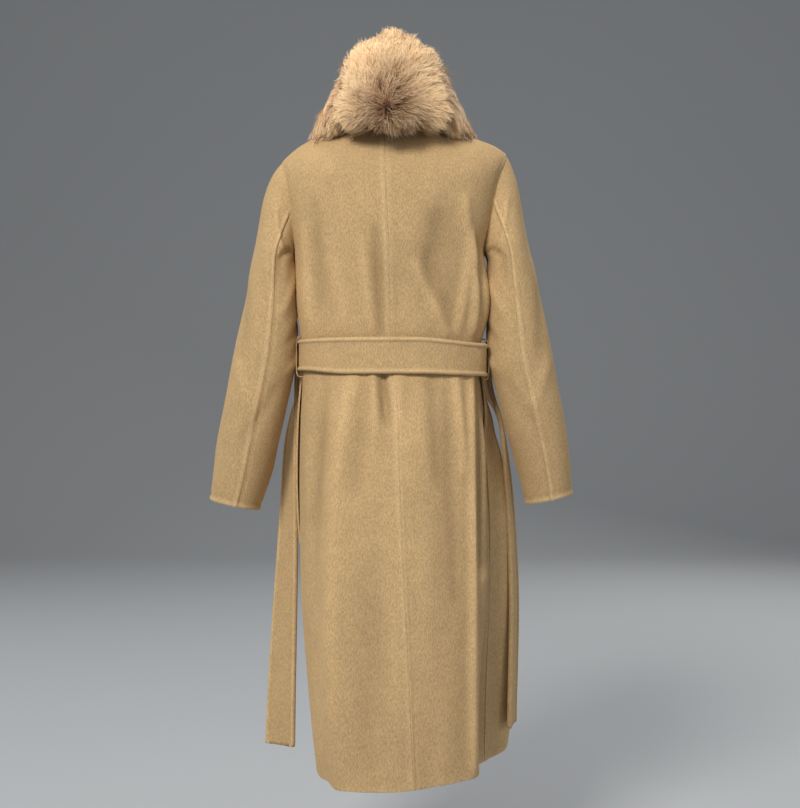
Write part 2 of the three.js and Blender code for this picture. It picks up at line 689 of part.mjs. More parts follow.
const coat = new THREE.Group();
function addMesh(name, geometry, material) {
  const mesh = new THREE.Mesh(geometry, material);
  mesh.name = name;
  coat.add(mesh);
}
addMesh('back_left', panel(1, 1), cloth);
addMesh('back_right', panel(-1, 1), cloth);
addMesh('front_left', panel(1, -1), cloth);
addMesh('front_right', panel(-1, -1), cloth);
for (const name of ['left', 'right']) {
  const seam = SLEEVES[name].backSeam;
  addMesh(`sleeve_upper_${name}`, sleeve(name, FRONT_SEAM_ANGLE, seam, STEPS.upperSleeve), cloth);
  addMesh(`sleeve_under_${name}`, sleeve(name, seam, 360 + FRONT_SEAM_ANGLE, STEPS.underSleeve), cloth);
  addMesh(`belt_tail_${name}`, beltTail(name), cloth);
  addMesh(`belt_loop_${name}`, beltLoop(name === 'left' ? 1 : -1), cloth);
}
addMesh('belt_waist', beltWaist(), cloth);
addMesh('collar_fur', collar(), fur);

export default coat;
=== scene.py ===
"""A long belted wool coat with a fur collar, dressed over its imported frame.

The sizes below are in millimetres and become metres when a mesh is made. +Z is up, the front faces
-Y and the wearer's left is +X. Each shape is a function of whole arrays.
"""

import bpy
import numpy as np
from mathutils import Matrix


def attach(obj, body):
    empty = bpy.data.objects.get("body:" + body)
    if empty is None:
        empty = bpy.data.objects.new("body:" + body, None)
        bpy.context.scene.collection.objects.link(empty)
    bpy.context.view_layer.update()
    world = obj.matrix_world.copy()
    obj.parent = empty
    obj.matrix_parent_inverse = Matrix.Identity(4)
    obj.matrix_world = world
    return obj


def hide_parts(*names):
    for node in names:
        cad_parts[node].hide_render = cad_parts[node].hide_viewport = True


bl_info = {
    "name": "Belted Wool Coat",
    "version": (1, 0, 0),
    "blender": (4, 5, 0),
    "location": "View3D > Sidebar > Coat",
    "description": "Cloth, seams, belt and fur of a long wool coat",
    "category": "Add Mesh",
}

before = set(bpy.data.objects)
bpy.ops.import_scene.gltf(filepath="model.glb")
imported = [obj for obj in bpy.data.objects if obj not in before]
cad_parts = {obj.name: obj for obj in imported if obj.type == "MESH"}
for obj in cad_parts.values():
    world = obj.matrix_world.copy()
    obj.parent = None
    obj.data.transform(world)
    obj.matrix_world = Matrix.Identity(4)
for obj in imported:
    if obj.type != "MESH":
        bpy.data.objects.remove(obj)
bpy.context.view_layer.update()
BODY = "root"
MM = 0.001

# Sizes of the coat
COAT_LENGTH = 1112
SQUARENESS = {"back": 2.4, "front": 2.9}
NECK_HALF = 78
NECK_RISE = 6
NECK_DIP_BACK = 22
NECK_DEPTH_FRONT = 215
# Each shoulder: its slope, how fast it steepens, and how far from the middle that begins
SHOULDERS = {"left": (0.45, 0.006, 140), "right": (0.34, 0.008, 172)}
SHOULDER_HALF = 190
# The body opens over this height below the shoulder line, at the neck and at the shoulder
SHOULDER_ROUND = (130, 78)
SHOULDER_POINT_ANGLE = 20
# The width of the shoulders is read at this height
YOKE_Z = -30.0
UNDERARM_Z = -215
ARMHOLE_SHAPE = 3
ARMHOLE_KNEE_Z = -185
FRONT_LAP = 42
LAP_DEPTH = 6.4
# The left front sinks under the lap over this length, from this far past the lap's edge
LAP_STEP = {"from": 22, "over": 20}
# A fold comes in and goes out over this height
FOLD_FADE = 120


def table(names, *rows):
    """Columns of a table by name: one row for each section, ring or fold."""
    return dict(zip(names.split(), np.array(rows, float).T))


SECTIONS = table(
    "z left right back front swing",
    (40, 198, 212, 100, 92, 0),
    (-60, 198, 212, 102, 94, 0),
    (-100, 188, 196, 109, 101, 0),
    (-140, 180, 185, 112, 107, 0),
    (-185, 173, 174, 112, 110, 0),
    (-225, 165, 162, 110, 110, 0),
    (-300, 157, 160, 102, 103, 0),
    (-357, 153, 156, 96, 97, 0),
    (-405, 151, 157, 93, 94, 0),
    (-460, 153, 167, 106, 104, 0.06),
    (-520, 156, 184, 120, 116, 0.14),
    (-654, 157, 195, 138, 138, 0.24),
    (-810, 154, 196, 150, 158, 0.3),
    (-932, 146, 192, 158, 170, 0.34),
    (-1112, 128, 187, 170, 185, 0.36),
)
BACK_SEAM = table(
    "z x",
    (20, 11), (-90, 10), (-240, 4), (-405, 0), (-520, -10), (-730, -19), (-890, -27), (-1112, -37),
)
# Long folds: degrees round the body from the wearer's left side, half width, depth, top and bottom
FOLDS = table(
    "angle width depth top bottom",
    (176, 12, -24, -440, -1112),
    (152, 7, 7, -430, -1112),
    (97, 6, -8, -400, -640),
    (62, 8, 7, -430, -1112),
    (40, 8, -6, -450, -1112),
    (124, 10, -5, -460, -1112),
    (95, 6, -5, -200, -390),
    (118, 7, 5, -180, -380),
    (236, 9, -9, -460, -1112),
    (212, 9, 8, -460, -1112),
    (318, 10, -9, -460, -1112),
    (342, 9, 7, -460, -1112),
    (290, 9, 6, -460, -1112),
)
# Creases of the back and the fronts: from one place to another, half width and depth
BACK_CREASES = table(
    "x0 z0 x1 z1 width depth",
    (24, -195, 9, -372, 9, -4.6),
    (46, -220, 28, -372, 9, 3.2),
    (-44, -256, -98, -372, 9, 3.4),
    (-62, -240, -112, -352, 11, -2.6),
    (-88, -160, -70, -300, 22, -5.0),
    (96, -250, 70, -370, 12, 1.8),
    (128, -150, 120, -330, 14, -3.0),
    (-136, -210, -118, -360, 8, 3.6),
    (-128, -140, -136, -250, 9, 3.0),
    (146, -190, 136, -350, 8, 2.4),
    (11, -428, 3, -520, 9, -6.4),
    (28, -430, 22, -540, 7, 3.0),
    (-14, -436, -26, -560, 12, 4.0),
    (62, -440, 88, -620, 13, 3.8),
    (88, -620, 112, -1080, 20, 3.2),
    (40, -450, 54, -640, 12, -2.8),
    (-70, -440, -84, -620, 12, -2.8),
    (-112, -440, -126, -600, 9, 4.2),
    (-96, -470, -112, -820, 12, -2.6),
    (108, -445, 128, -700, 10, -2.8),
    (-60, -700, -84, -1090, 26, 2.6),
    (30, -760, 40, -1090, 28, -2.2),
    (-8, -640, -18, -1000, 20, 1.6),
    (-139, -436, -141, -1100, 7, 5.5),
    (-158, -430, -158, -760, 11, -8.0),
    (-158, -800, -158, -1100, 11, -2.5),
    (-152, -236, -150, -366, 10, 4.5),
    (-138, -196, -139, -366, 5, 4.0),
    (-147, -210, -147, -366, 4, -5.0),
)
FRONT_CREASES = table(
    "x0 z0 x1 z1 width depth",
    (120, -200, 60, -372, 14, 3.2),
    (90, -190, 40, -360, 12, -2.4),
    (-118, -210, -56, -370, 13, 3.4),
    (-86, -180, -30, -350, 12, -2.6),
    (70, -440, 92, -640, 13, 4.0),
    (30, -445, 46, -700, 14, -3.2),
    (-60, -440, -86, -650, 12, 4.0),
    (-98, -445, -128, -760, 14, -3.4),
    (-20, -640, -30, -1080, 22, 2.4),
    (86, -700, 96, -1090, 22, -2.6),
    (151, -440, 152, -720, 14, 5.0),
    (-196, -560, -212, -1090, 16, 6.0),
)
# A crease keeps this share of its depth at its ends
CREASE_ENDS = 0.35
# The sides of the coat swell a little over the belt, outside a place near the side seams
BLOUSE = {"z": -312, "half": 58, "left": 7, "right": 11, "from": 118, "over": 34}
# Slow unevenness of the cloth
SWELL = {"body": 0.9, "body_fade": 60, "sleeve": 0.8, "sleeve_shift": 77, "belt": 1.0}
# Relief stays low along the shoulder seam, where two panels meet
TOP_RELIEF = {"share": 0.15, "over": 14}
ARMHOLE_GROOVE = {"half": 7, "depth": 0.8}
# A rolled edge and its groove, as shares of the roll's width
EDGE_ROLL = {"middle": 0.4, "half": 0.62, "groove": 1.25, "groove_half": 0.4}
# The strip along the back seam and its groove, as shares of the strip's width
BACK_STRIP = {"half": 0.62, "slope": 0.3, "groove": 0.72, "groove_half": 0.3, "groove_depth": 1.2}
# The strip along a sleeve's seam, its groove and its height
SLEEVE_STRIP = {"half": 4.0, "cover": 1.15, "slope": 0.6, "groove": 1.7, "groove_half": 0.8}
SLEEVE_STRIP_HEIGHT = {"strip": 1.15, "groove": 1.3}
# How much of the edge's paler colour, a painted highlight, a strip takes
STRIP_HIGHLIGHT = 0.55
# The cut edges of the cloth are softened by this share of its wall
SOFT_EDGE = {"share": 0.36, "segments": 3, "angle": 55}
# A piece is taken to fill at least this share of its rectangle
LEAST_FILL = 0.31
SLEEVES = {
    "left": table(
        "z x y across deep tilt",
        (-240, 202, 2, 37.5, 62, 0),
        (-315, 207, 4, 47, 60, 0.03),
        (-399, 217.5, 4, 54.5, 57, 0.07),
        (-483, 234, 0, 54, 54, 0.11),
        (-567, 253, -12, 52, 51, 0.16),
        (-612, 262, -20, 49, 49, 0.19),
        (-664, 275, -30, 43.5, 46, 0.22),
    ),
    "right": table(
        "z x y across deep tilt",
        (-240, 209, 2, 39, 62, 0),
        (-304, 215, 4, 48, 60, 0.03),
        (-409, 228, 4, 56.5, 57, 0.07),
        (-453, 238, 2, 54, 55, 0.1),
        (-523, 254, -6, 52, 52, 0.14),
        (-579, 268, -16, 47, 49, 0.18),
        (-654, 282, -30, 41.5, 45, 0.22),
    ),
}
# How far outwards a sleeve's cap leaves the shoulder, as a share of its way down
CAP_SPREAD = {"left": 0.72, "right": 0.5, "under": 0.12}
# How far outwards the back of the cap still runs where it reaches the first ring
CAP_ARRIVE = 0.1
# How strongly a cap keeps to both directions, as a share of the way between its ends
CAP_REACH = 1.05
SLEEVE_SEAM = {"left": 98, "right": 89}
FRONT_SEAM_ANGLE = -112
# Degrees left free beside each seam of a sleeve
SLEEVE_SEAM_GAP = 0.15
# Creases round a sleeve are measured at this half width of it
SLEEVE_GIRTH = 50.0
# Cloth laps by this much where two pieces are sewn
SEAM_LAP = 0.5
SIDE_SEAM_LAP = 0.02
# Creases of a sleeve: degrees round it and share of its length, from one place to another
SLEEVE_CREASES = table(
    "angle0 along0 angle1 along1 width depth",
    (60, -0.75, 120, -0.25, 9, 2.0),
    (150, -0.5, 110, 0.1, 10, -2.6),
    (170, 0.02, 120, 0.22, 9, 2.2),
    (200, 0.2, 140, 0.33, 8, -2.4),
    (215, 0.3, 150, 0.44, 8, 2.6),
    (-60, 0.28, -130, 0.42, 9, -2.8),
    (-50, 0.36, -120, 0.52, 9, 2.6),
    (40, 0.42, 95, 0.62, 11, 1.8),
    (20, 0.1, 60, 0.42, 14, -1.8),
    (130, 0.5, 80, 0.78, 10, -1.6),
    (-20, -0.6, 10, 0.1, 14, 1.8),
    (230, 0.6, 190, 0.85, 10, 1.6),
)
BELT = {"width": 62, "flat": 3.4, "edge": 8.6, "middle": -405, "clear": 1.1}
LOOP = {"turn": 6, "height": 70, "width": 8, "thick": 2.4, "clear": 0.5, "sag": {"left": -1, "right": 4}}
# How square the loop's curve and its section are, and how much of the edge's paler colour, a painted
# highlight, it takes
LOOP_SHAPE = {"length": 0.55, "out": 0.32, "across": 0.6, "through": 0.8, "tone": 0.3}
BELT_END = {"angle": 19, "slant": 10, "from": 0.72}
# The belt sinks at its right end, rises at its left end, and narrows a little towards both
BELT_SIDES = {
    "right": {"x": -40, "over": -120, "rise": -6, "narrow": 0.09},
    "left": {"x": 70, "over": 85, "rise": 3, "narrow": 0.13},
}
# Small ripples beside the belt's ends, and one fold near its right end
BELT_RIPPLE = {"height": 0.7, "length": 17, "phase": 0.8, "x": 128, "half": 26}
BELT_FOLD = {"height": 4.5, "x": -158, "half": 14, "middle": 0.6, "lean": 0.4, "y": 10, "over": 30}
TAIL_SLANT_FADE = 100
# A belt end bows along its length and cups across it, from a place below the waist
TAIL_BOW = {"height": 1.6, "length": 83, "turn": 1, "from": 60, "over": 120}
TAIL_CUP = {"height": 1.4, "length": 140, "turn": 0.5, "from": 40, "over": 90}
TAIL_TIP_NARROW = 0.02
TAILS = {
    "left": table(
        "z x y turn",
        (-405, 160.2, -51, 97),
        (-470, 167.5, -52, 86),
        (-549, 176, -52, 68),
        (-654, 181, -48, 60),
        (-810, 186, -42, 47),
        (-932, 190, -38, 38),
        (-1092, 196, -34, 28),
    ),
    "right": table(
        "z x y turn",
        (-405, 170.1, -55, 98),
        (-460, 176.6, -60, 92),
        (-520, 199, -66, 86),
        (-631, 213, -68, 78),
        (-810, 221, -64, 74),
        (-932, 222, -60, 74),
        (-1062, 221, -56, 75),
    ),
}
COLLAR_SHIFT = -5
COLLAR = table(
    "i x y z nx ny nz half thick",
    (0, 0, 98, 60, 0, 0.97, 0.24, 93, 43),
    (1, 42, 87, 52, 0.42, 0.86, 0.28, 77, 41),
    (2, 79, 52, 25, 0.8, 0.44, 0.4, 63, 38),
    (3, 96, 2, 15, 0.86, 0, 0.5, 58, 34),
    (4, 94, -46, 4, 0.76, -0.45, 0.46, 52, 30),
    (5, 84, -92, -42, 0.45, -0.8, 0.4, 45, 27),
    (6, 68, -122, -98, 0.25, -0.95, 0.2, 40, 25),
    (7, 54, -133, -150, 0.12, -0.98, 0.1, 34, 22),
    (8, 48, -134, -184, 0.08, -0.99, 0.05, 14, 9),
)
# Number of the table's last row, at both ends of the collar
COLLAR_LAST = 8
# Over the shoulders the collar's crown draws in and sinks a little
CROWN_SHAPE = {"z": 45, "rise": 65, "y": -20, "run": 60, "narrow": 0.9, "sink": 2}
# Fur and skin stay clear of the cloth as far out as this, by these distances
SHOULDER_REACH = 205
SKIN_CLEAR = 3.5
HAIR_CLEAR = {"root": 1.0, "low": 4.0, "high": 4.5}
# Where the fur changes: distance from the collar's middle, height or depth, and how soon
CROWN = {"z": 50, "over": 70, "short": 0.3, "stand": 0.62, "pale": 0.4}
WINGS = {"x": 58, "over": 40}
FRONTS = {"y": 30, "over": 70, "pale": 0.3}
LOWER_EDGE = {"z": 44, "over": 30, "long": 0.16}
BELOW_WHORL = {"shift": 2, "over": 26, "y": 40, "short": 0.5}
FURROW = {"x": 75, "lean": 0.2, "z": 10, "half": 9, "top": 84, "over": 40, "y": 20}
# The furrow's hairs are shorter, and darkened towards the root colour as painted shade
FURROW_FUR = {"short": 0.72, "dark": 0.85}
NOTCH = {"x": 70, "half": 15, "short": 0.4}
NOTCH_SHADE = {"x": 73, "z": 12, "half": 15, "dark": 0.9}
WHORL_LOOSE = {"turn": 2.2, "half": 38}
WHORL_STAND = {"mean": 0.5, "spread": 0.25, "half": 52}
# The dark whorl reaches farther up than down: heights above it count as less
WHORL_FLAT_TOP = 0.62
# The way the fur hangs, outward, backward and up, on the wings and on the fronts
HANG = {"wing": (0.55, 0.1, -1), "front": (0.5, -0.35, -1)}
HANG_SHARE = 0.55
# Lengths as shares of a full hair, its least length in millimetres, and how far lengths scatter
HAIR_LENGTH = {"front": 0.72, "end": 0.45, "end_part": 0.14, "least": 10, "most": 1.35}
HAIR_SCATTER = {"tuft": 0.11, "hair": 0.14, "guards": 0.06, "guard": 1.16}
HAIR_TURN = {"tuft": 0.28, "hair": 0.12, "stand": 0.2, "flat": 0.5}
HAIR_TONE = {"tuft": 0.6, "hair": 0.5}
# Light falls on the hairs as on a soft round body that leans back and up
HAIR_NORMAL = {"along": 0.25, "out": 0.4, "lean": (0, 0.12, 0.34)}
# A hair's line: share of its length, how far it has climbed, and how far its tuft has drawn it in
HAIR_LINE = ((0.42, 1.25, 0.1), (0.76, 0.98, 0.5), (1.0, 0.78, 1.0))
# Width of a hair at its first three places, as shares of its full width
HAIR_TAPER = (0.9, 1.0, 0.75)
# A hair sinks by this much at its third place, and by twice as much at its tip
HAIR_SAG = 1.6

# The camera stands behind the coat, level with its middle
CAMERA = {"x": -17.5, "y": 2100, "z": -486.5, "mm_per_pixel": 1.75, "height_pixels": 808, "sensor": 36}
# The floor: its height, how far it runs behind the camera and past the coat, the bend by which it
# rises into a plain backdrop, the backdrop's height and half the floor's width
FLOOR = {"z": -1400, "near": 7000, "far": -5000, "bend": 3000, "top": 9000, "half": 12000}
ROOM_LIGHT = {"colour": (0.84, 0.84, 0.85, 1), "strength": 0.25}
LIGHT_TARGET = (0, 0, -0.45)
# Each light: its place and size in metres, its power and its colour
LIGHTS = {
    "key": ((1.5, 3.4, 2.1), 1.2, 190, (1, 0.98, 0.94)),
    "fill": ((-3.4, 2.6, 0.6), 2.0, 24, (0.97, 0.98, 1)),
    "front": ((-2.4, -3.6, 1.8), 2.6, 75, (1, 0.98, 0.95)),
    "front_side": ((3.6, -2.0, 0.8), 2.6, 30, (0.95, 0.97, 1)),
    "top": ((0, 0.4, 3.2), 2.0, 40, (1, 1, 1)),
}


def smooth(t):
    """Rises from 0 to 1 as t does, flat at both ends."""
    c = np.clip(t, 0, 1)
    return c * c * (3 - 2 * c)


def lerp(a, b, t):
    """Straight blend from a to b."""
    return a + (b - a) * t


def power(v, exponent):
    """A power that keeps the sign."""
    return np.sign(v) * np.abs(v) ** exponent


def unit(v):
    """Vectors brought to length 1."""
    return v / np.maximum(np.linalg.norm(v, axis=-1, keepdims=True), 1e-9)


def wrap(angle):
    """The same angle, brought between -180 and 180 degrees."""
    return (angle + 180) % 360 - 180


def swelling(off, half):
    """A soft bump: 1 at the middle, about a third at its half width, falling off as a bell curve."""
    share = off / half
    return np.exp(-share * share)


def read(rows, key, at, by="z"):
    """Smooth curve through a table's column: a cubic between rows, its slope at each row taken from
    the rows on both sides."""
    xs, ys = rows[by], rows[key]
    if xs[0] > xs[-1]:
        xs, ys = xs[::-1], ys[::-1]
    at = np.clip(at, xs[0], xs[-1])
    number = np.arange(len(xs))
    before = np.maximum(number - 1, 0)
    after = np.minimum(number + 1, len(xs) - 1)
    slope = (ys[after] - ys[before]) / (xs[after] - xs[before])
    i = np.clip(np.searchsorted(xs, at, side="right") - 1, 0, len(xs) - 2)
    span = xs[i + 1] - xs[i]
    t = (at - xs[i]) / span
    t2, t3 = t * t, t * t * t
    return (
        (2 * t3 - 3 * t2 + 1) * ys[i]
        + (t3 - 2 * t2 + t) * span * slope[i]
        + (3 * t2 - 2 * t3) * ys[i + 1]
        + (t3 - t2) * span * slope[i + 1]
    )


def ridge(x):
    """Height of the shoulder line: level at the neck, then a slope that steepens at the shoulder."""
    far = np.abs(x)
    slope, steeper, start = (np.where(x > 0, *pair) for pair in zip(SHOULDERS["left"], SHOULDERS["right"]))
    drop = slope * np.maximum(far - NECK_HALF, 0) + steeper * np.maximum(far - start, 0) ** 2
    return NECK_RISE * np.maximum(1 - (far / NECK_HALF) ** 2, 0) - drop


def opening(x, z):
    """How far the body has opened below the shoulder line: a quarter of an ellipse."""
    far = np.clip(np.abs(x) / SHOULDER_HALF, 0, 1)
    t = np.clip((ridge(x) - z) / lerp(*SHOULDER_ROUND, far), 0, 1)
    return np.sqrt(1 - (1 - t) ** 2)


def body_point(side, face, angle, z):
    """The body: level superellipses whose half sizes follow the section table, closed towards the
    shoulder line, swung sideways by the depth, and pushed in or out by the long folds."""
    a = np.radians(angle)
    e = 2 / SQUARENESS["back" if face > 0 else "front"]
    across = side * power(np.cos(a), e)
    away = face * power(np.sin(a), e)
    half = np.where(across > 0, read(SECTIONS, "left", z), read(SECTIONS, "right", z))
    depth = np.where(away > 0, read(SECTIONS, "back", z), read(SECTIONS, "front", z))
    x = half * across
    y = depth * away * opening(x, z)
    x = x + y * read(SECTIONS, "swing", z) * (1 - across) / 2
    turn = np.degrees(np.arctan2(face * np.sin(a), side * np.cos(a))) % 360
    for i in range(len(FOLDS["angle"])):
        fold = FOLDS["depth"][i] * swelling(wrap(turn - FOLDS["angle"][i]), FOLDS["width"][i])
        push = fold * smooth((FOLDS["top"][i] - z) / FOLD_FADE)
        if FOLDS["bottom"][i] > -COAT_LENGTH:
            push = push * smooth((z - FOLDS["bottom"][i]) / FOLD_FADE)
        x = x + push * np.cos(np.radians(turn))
        y = y + push * np.sin(np.radians(turn))
    return np.stack(np.broadcast_arrays(x, y, np.asarray(z, float)), -1)


def angle_at(side, face, x, z):
    """Angle where the body reaches a sideways place, found by halving."""
    x, z = np.broadcast_arrays(np.asarray(x, float), np.asarray(z, float))
    low, high = np.full(x.shape, 20.0), np.full(x.shape, 160.0)
    for _ in range(26):
        middle = (low + high) / 2
        outside = side * (body_point(side, face, middle, z)[..., 0] - x) > 0
        low, high = np.where(outside, middle, low), np.where(outside, high, middle)
    return (low + high) / 2


def body_normal(side, face, angle, z):
    """Outward normal of the body, from points close together."""
    h = 0.4
    u = body_point(side, face, angle + h, z) - body_point(side, face, angle - h, z)
    v = body_point(side, face, angle, z) - body_point(side, face, angle, z - 2 * h)
    return unit(np.cross(u, v)) * side * face


def shoulder_z(side):
    """Height of the shoulder point, where the shoulder line meets the armhole."""
    return float(ridge(body_point(side, 1, SHOULDER_POINT_ANGLE, YOKE_Z)[0]))


def armhole_angle(side, z):
    """Edge of the armhole: a rounded corner between the shoulder point and the underarm."""
    down = np.clip((shoulder_z(side) - z) / (shoulder_z(side) - UNDERARM_Z), 0, 1)
    return SHOULDER_POINT_ANGLE * (1 - down**ARMHOLE_SHAPE) ** (1 / ARMHOLE_SHAPE)


def armhole_z(side, angle):
    """The same edge, read the other way."""
    out = np.clip(angle / SHOULDER_POINT_ANGLE, 0, 1)
    return lerp(shoulder_z(side), UNDERARM_Z, (1 - out**ARMHOLE_SHAPE) ** (1 / ARMHOLE_SHAPE))


def armhole_edge(side, face, steps):
    """Points of one half of the armhole, from the shoulder point to the underarm."""
    t = np.linspace(0, np.pi / 2, steps)
    z = lerp(shoulder_z(side), UNDERARM_Z, np.sin(t) ** (2 / ARMHOLE_SHAPE))
    edge = body_point(side, face, SHOULDER_POINT_ANGLE * np.cos(t) ** (2 / ARMHOLE_SHAPE), z)
    edge[0, 1] = 0
    return edge


def neckline_z(side, face, x):
    """Height of the neckline in the middle of a panel: a dip at the back and a V in front."""
    along = np.clip(side * x / NECK_HALF, -1, 1)
    if face > 0:
        return ridge(x) - NECK_DIP_BACK * np.cos(along * np.pi / 2) ** 2
    return -NECK_DEPTH_FRONT * (1 - along)


def segment_crease(u, v, rows, u0, v0, u1, v1):
    """Height of soft creases: each falls off as a bell with the distance from a straight line, and
    is deepest halfway along it."""
    height = np.zeros(np.shape(u))
    for i in range(len(rows["depth"])):
        du, dv = rows[u1][i] - rows[u0][i], rows[v1][i] - rows[v0][i]
        t = np.clip(((u - rows[u0][i]) * du + (v - rows[v0][i]) * dv) / (du * du + dv * dv), 0, 1)
        off = np.hypot(u - rows[u0][i] - t * du, v - rows[v0][i] - t * dv)
        along = CREASE_ENDS + (1 - CREASE_ENDS) * np.sqrt(np.sin(np.pi * t).clip(0))
        height = height + rows["depth"][i] * swelling(off, rows["width"][i]) * along
    return height


def unevenness(u, v, size):
    """Slow uneven swelling: a few waves, each given by its length along u and v and where it starts."""
    waves = ((97, 31, 0.7), (53, -88, 2.1), (141, 167, 4.0), (-61, 203, 5.3))
    return size * sum(np.sin(u / a + v / b + c) for a, b, c in waves) / len(waves)


def bell(off, half):
    """A smooth bump, 1 at the middle and 0 past its half width."""
    return smooth(1 - np.abs(off) / half)


def grid_faces(number):
    """Quads between the points of a grid; a cell with a missing point, numbered -1, is left out."""
    a, b = number[:-1, :-1], number[:-1, 1:]
    c, d = number[1:, 1:], number[1:, :-1]
    quads = np.stack([a, b, c, d], -1).reshape(-1, 4)
    return quads[(quads >= 0).all(1)]


def make_mesh(name, points, faces, attributes=None):
    """Puts arrays of points in millimetres, and quads or triangles, into a new smooth mesh."""
    mesh = bpy.data.meshes.new(name)
    corners = faces.shape[1]
    mesh.vertices.add(len(points))
    mesh.vertices.foreach_set("co", (points * MM).astype(np.float32).ravel())
    mesh.loops.add(faces.size)
    mesh.loops.foreach_set("vertex_index", faces.astype(np.int32).ravel())
    mesh.polygons.add(len(faces))
    mesh.polygons.foreach_set("loop_start", np.arange(0, faces.size, corners, dtype=np.int32))
    mesh.polygons.foreach_set("use_smooth", np.ones(len(faces), bool))
    for key, values in (attributes or {}).items():
        mesh.attributes.new(key, "FLOAT", "POINT").data.foreach_set("value", values.astype(np.float32))
    mesh.update(calc_edges=True)
    mesh.validate()
    obj = bpy.data.objects.new(name, mesh)
    bpy.context.scene.collection.objects.link(obj)
    return obj


def settle(obj, material, slot, *nodes):
    """Gives a finished piece its material and its place on the body, and hides the solids it stands for."""
    obj.data.materials.append(material)
    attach(obj, BODY)
    if nodes:
        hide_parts(*nodes)


def add_wall(obj, sizes, roll):
    """Gives a sheet its cloth wall, thicker under the rolled edges, and softens its cut edges."""
    group = obj.vertex_groups.new(name="wall")
    share = sizes.wall / sizes.rolled_wall
    for weight in (0.0, 0.5, 1.0):
        chosen = np.flatnonzero(np.round(roll * 2) / 2 == weight)
        group.add(chosen.tolist(), lerp(share, 1, weight), "REPLACE")
    wall = obj.modifiers.new("wall", "SOLIDIFY")
    wall.thickness = sizes.rolled_wall
    wall.offset = -1
    wall.vertex_group = "wall"
    wall.use_rim = True
    edge = obj.modifiers.new("edge", "BEVEL")
    edge.width = sizes.wall * SOFT_EDGE["share"]
    edge.segments = SOFT_EDGE["segments"]
    edge.limit_method = "ANGLE"
    edge.angle_limit = np.radians(SOFT_EDGE["angle"])


def flat_size(points, number):
    """Area of a sheet before it was hung, and its flat width and length, from its own grid."""
    faces = grid_faces(number)
    p = points[faces]
    area = np.linalg.norm(np.cross(p[:, 2] - p[:, 0], p[:, 3] - p[:, 1]), axis=1).sum() / 2
    low = number[0][number[0] >= 0]
    width = np.linalg.norm(np.diff(points[low], axis=0), axis=1).sum()
    length = np.ptp(points[:, 2])
    return area * MM * MM, width * MM, length * MM


def declare_sheet(area, width, length):
    """Works out the smallest rectangle that holds a sheet's cut; nothing is done with it."""
    width = max(width, area / length)
    area = max(area, LEAST_FILL * width * length)


def panel_sheet(side, face, sizes):
    """One quarter of the coat as a grid. Its lower rows run from the middle edge to the side seam,
    its upper rows from the neck edge to the armhole. Returns points, normals, their numbers in the
    grid and how far each point lies from the hem, the middle edge, the shoulder line and the
    armhole."""
    rows_low, rows_high, under = 150, 40, 14
    yoke, neck = (50, 0) if face > 0 else (42, 10)
    row_spacing = 0.97
    below_ridge = 1.5
    neck_top = 0.0 if face > 0 else -0.5
    shift = sizes.seam_width / MM / 2
    side_seam = -SIDE_SEAM_LAP
    last, total = neck + yoke, neck + yoke + under

    def middle(z):
        if face > 0:
            return angle_at(side, face, read(BACK_SEAM, "x", z) - shift - side * SEAM_LAP, z)
        return angle_at(side, face, -side * FRONT_LAP, z)

    def neck_angle(z):
        if face > 0:
            return middle(z)
        return angle_at(side, face, side * NECK_HALF * (1 + z / NECK_DEPTH_FRONT), z)

    knee = np.array(float(ARMHOLE_KNEE_Z))
    knee_angle = armhole_angle(side, knee)
    neck_x = side * NECK_HALF * (1 + knee / NECK_DEPTH_FRONT)
    lap_x = lerp(-side * FRONT_LAP, neck_x, np.arange(neck) / max(neck, 1))
    lap_z = neckline_z(side, -1, lap_x)
    yoke_angle = lerp(neck_angle(knee), knee_angle, np.arange(yoke + 1) / yoke)
    under_angle = lerp(knee_angle, side_seam, np.arange(1, under + 1) / under)
    split_angle = np.concatenate([angle_at(side, face, lap_x, lap_z), yoke_angle, under_angle])
    split_z = np.concatenate([lap_z, np.full(yoke + 1, float(knee)), armhole_z(side, under_angle)])

    share = (split_angle - middle(split_z)) / (side_seam - middle(split_z))
    t = (np.arange(rows_low + 1) / rows_low)[:, None] ** row_spacing
    z_low = lerp(-COAT_LENGTH, split_z, t)
    angle_low = lerp(middle(z_low), side_seam, share)

    t = (np.arange(1, rows_high + 1) / rows_high)[:, None]
    left = neck_angle(lerp(knee, neck_top, t))
    right = armhole_angle(side, lerp(knee, shoulder_z(side), t))
    inner = lerp(left, right, np.arange(yoke + 1) / yoke)
    x = body_point(side, face, inner, np.full(inner.shape, YOKE_Z))[..., 0]
    top = ridge(x)
    if face > 0:
        top = np.where(np.abs(x) < NECK_HALF, neckline_z(side, face, x), top)
    z_high = lerp(knee, top, t)
    angle_high = np.full((rows_high, total + 1), np.nan)
    z_top = np.full((rows_high, total + 1), np.nan)
    angle_high[:, neck : last + 1] = inner
    z_top[:, neck : last + 1] = z_high

    angle = np.concatenate([angle_low, angle_high])
    z = np.concatenate([z_low, z_top])
    there = ~np.isnan(z)
    number = np.full(z.shape, -1)
    number[there] = np.arange(there.sum())
    a, h = angle[there], z[there]
    points = body_point(side, face, a, h)
    normals = body_normal(side, face, a, np.minimum(h, ridge(points[:, 0]) - below_ridge))
    on_ridge = np.abs(h - ridge(points[:, 0])) < 1e-6
    points[on_ridge, 1] = -face * SEAM_LAP
    seam = points[:, 0] - (read(BACK_SEAM, "x", h) if face > 0 else -side * FRONT_LAP)
    return {
        "points": points,
        "normals": normals,
        "number": number,
        "hem": h + COAT_LENGTH,
        "seam": seam,
        "top": h - np.minimum(ridge(points[:, 0]), 0),
        "armhole": armhole_distance(side, points),
    }


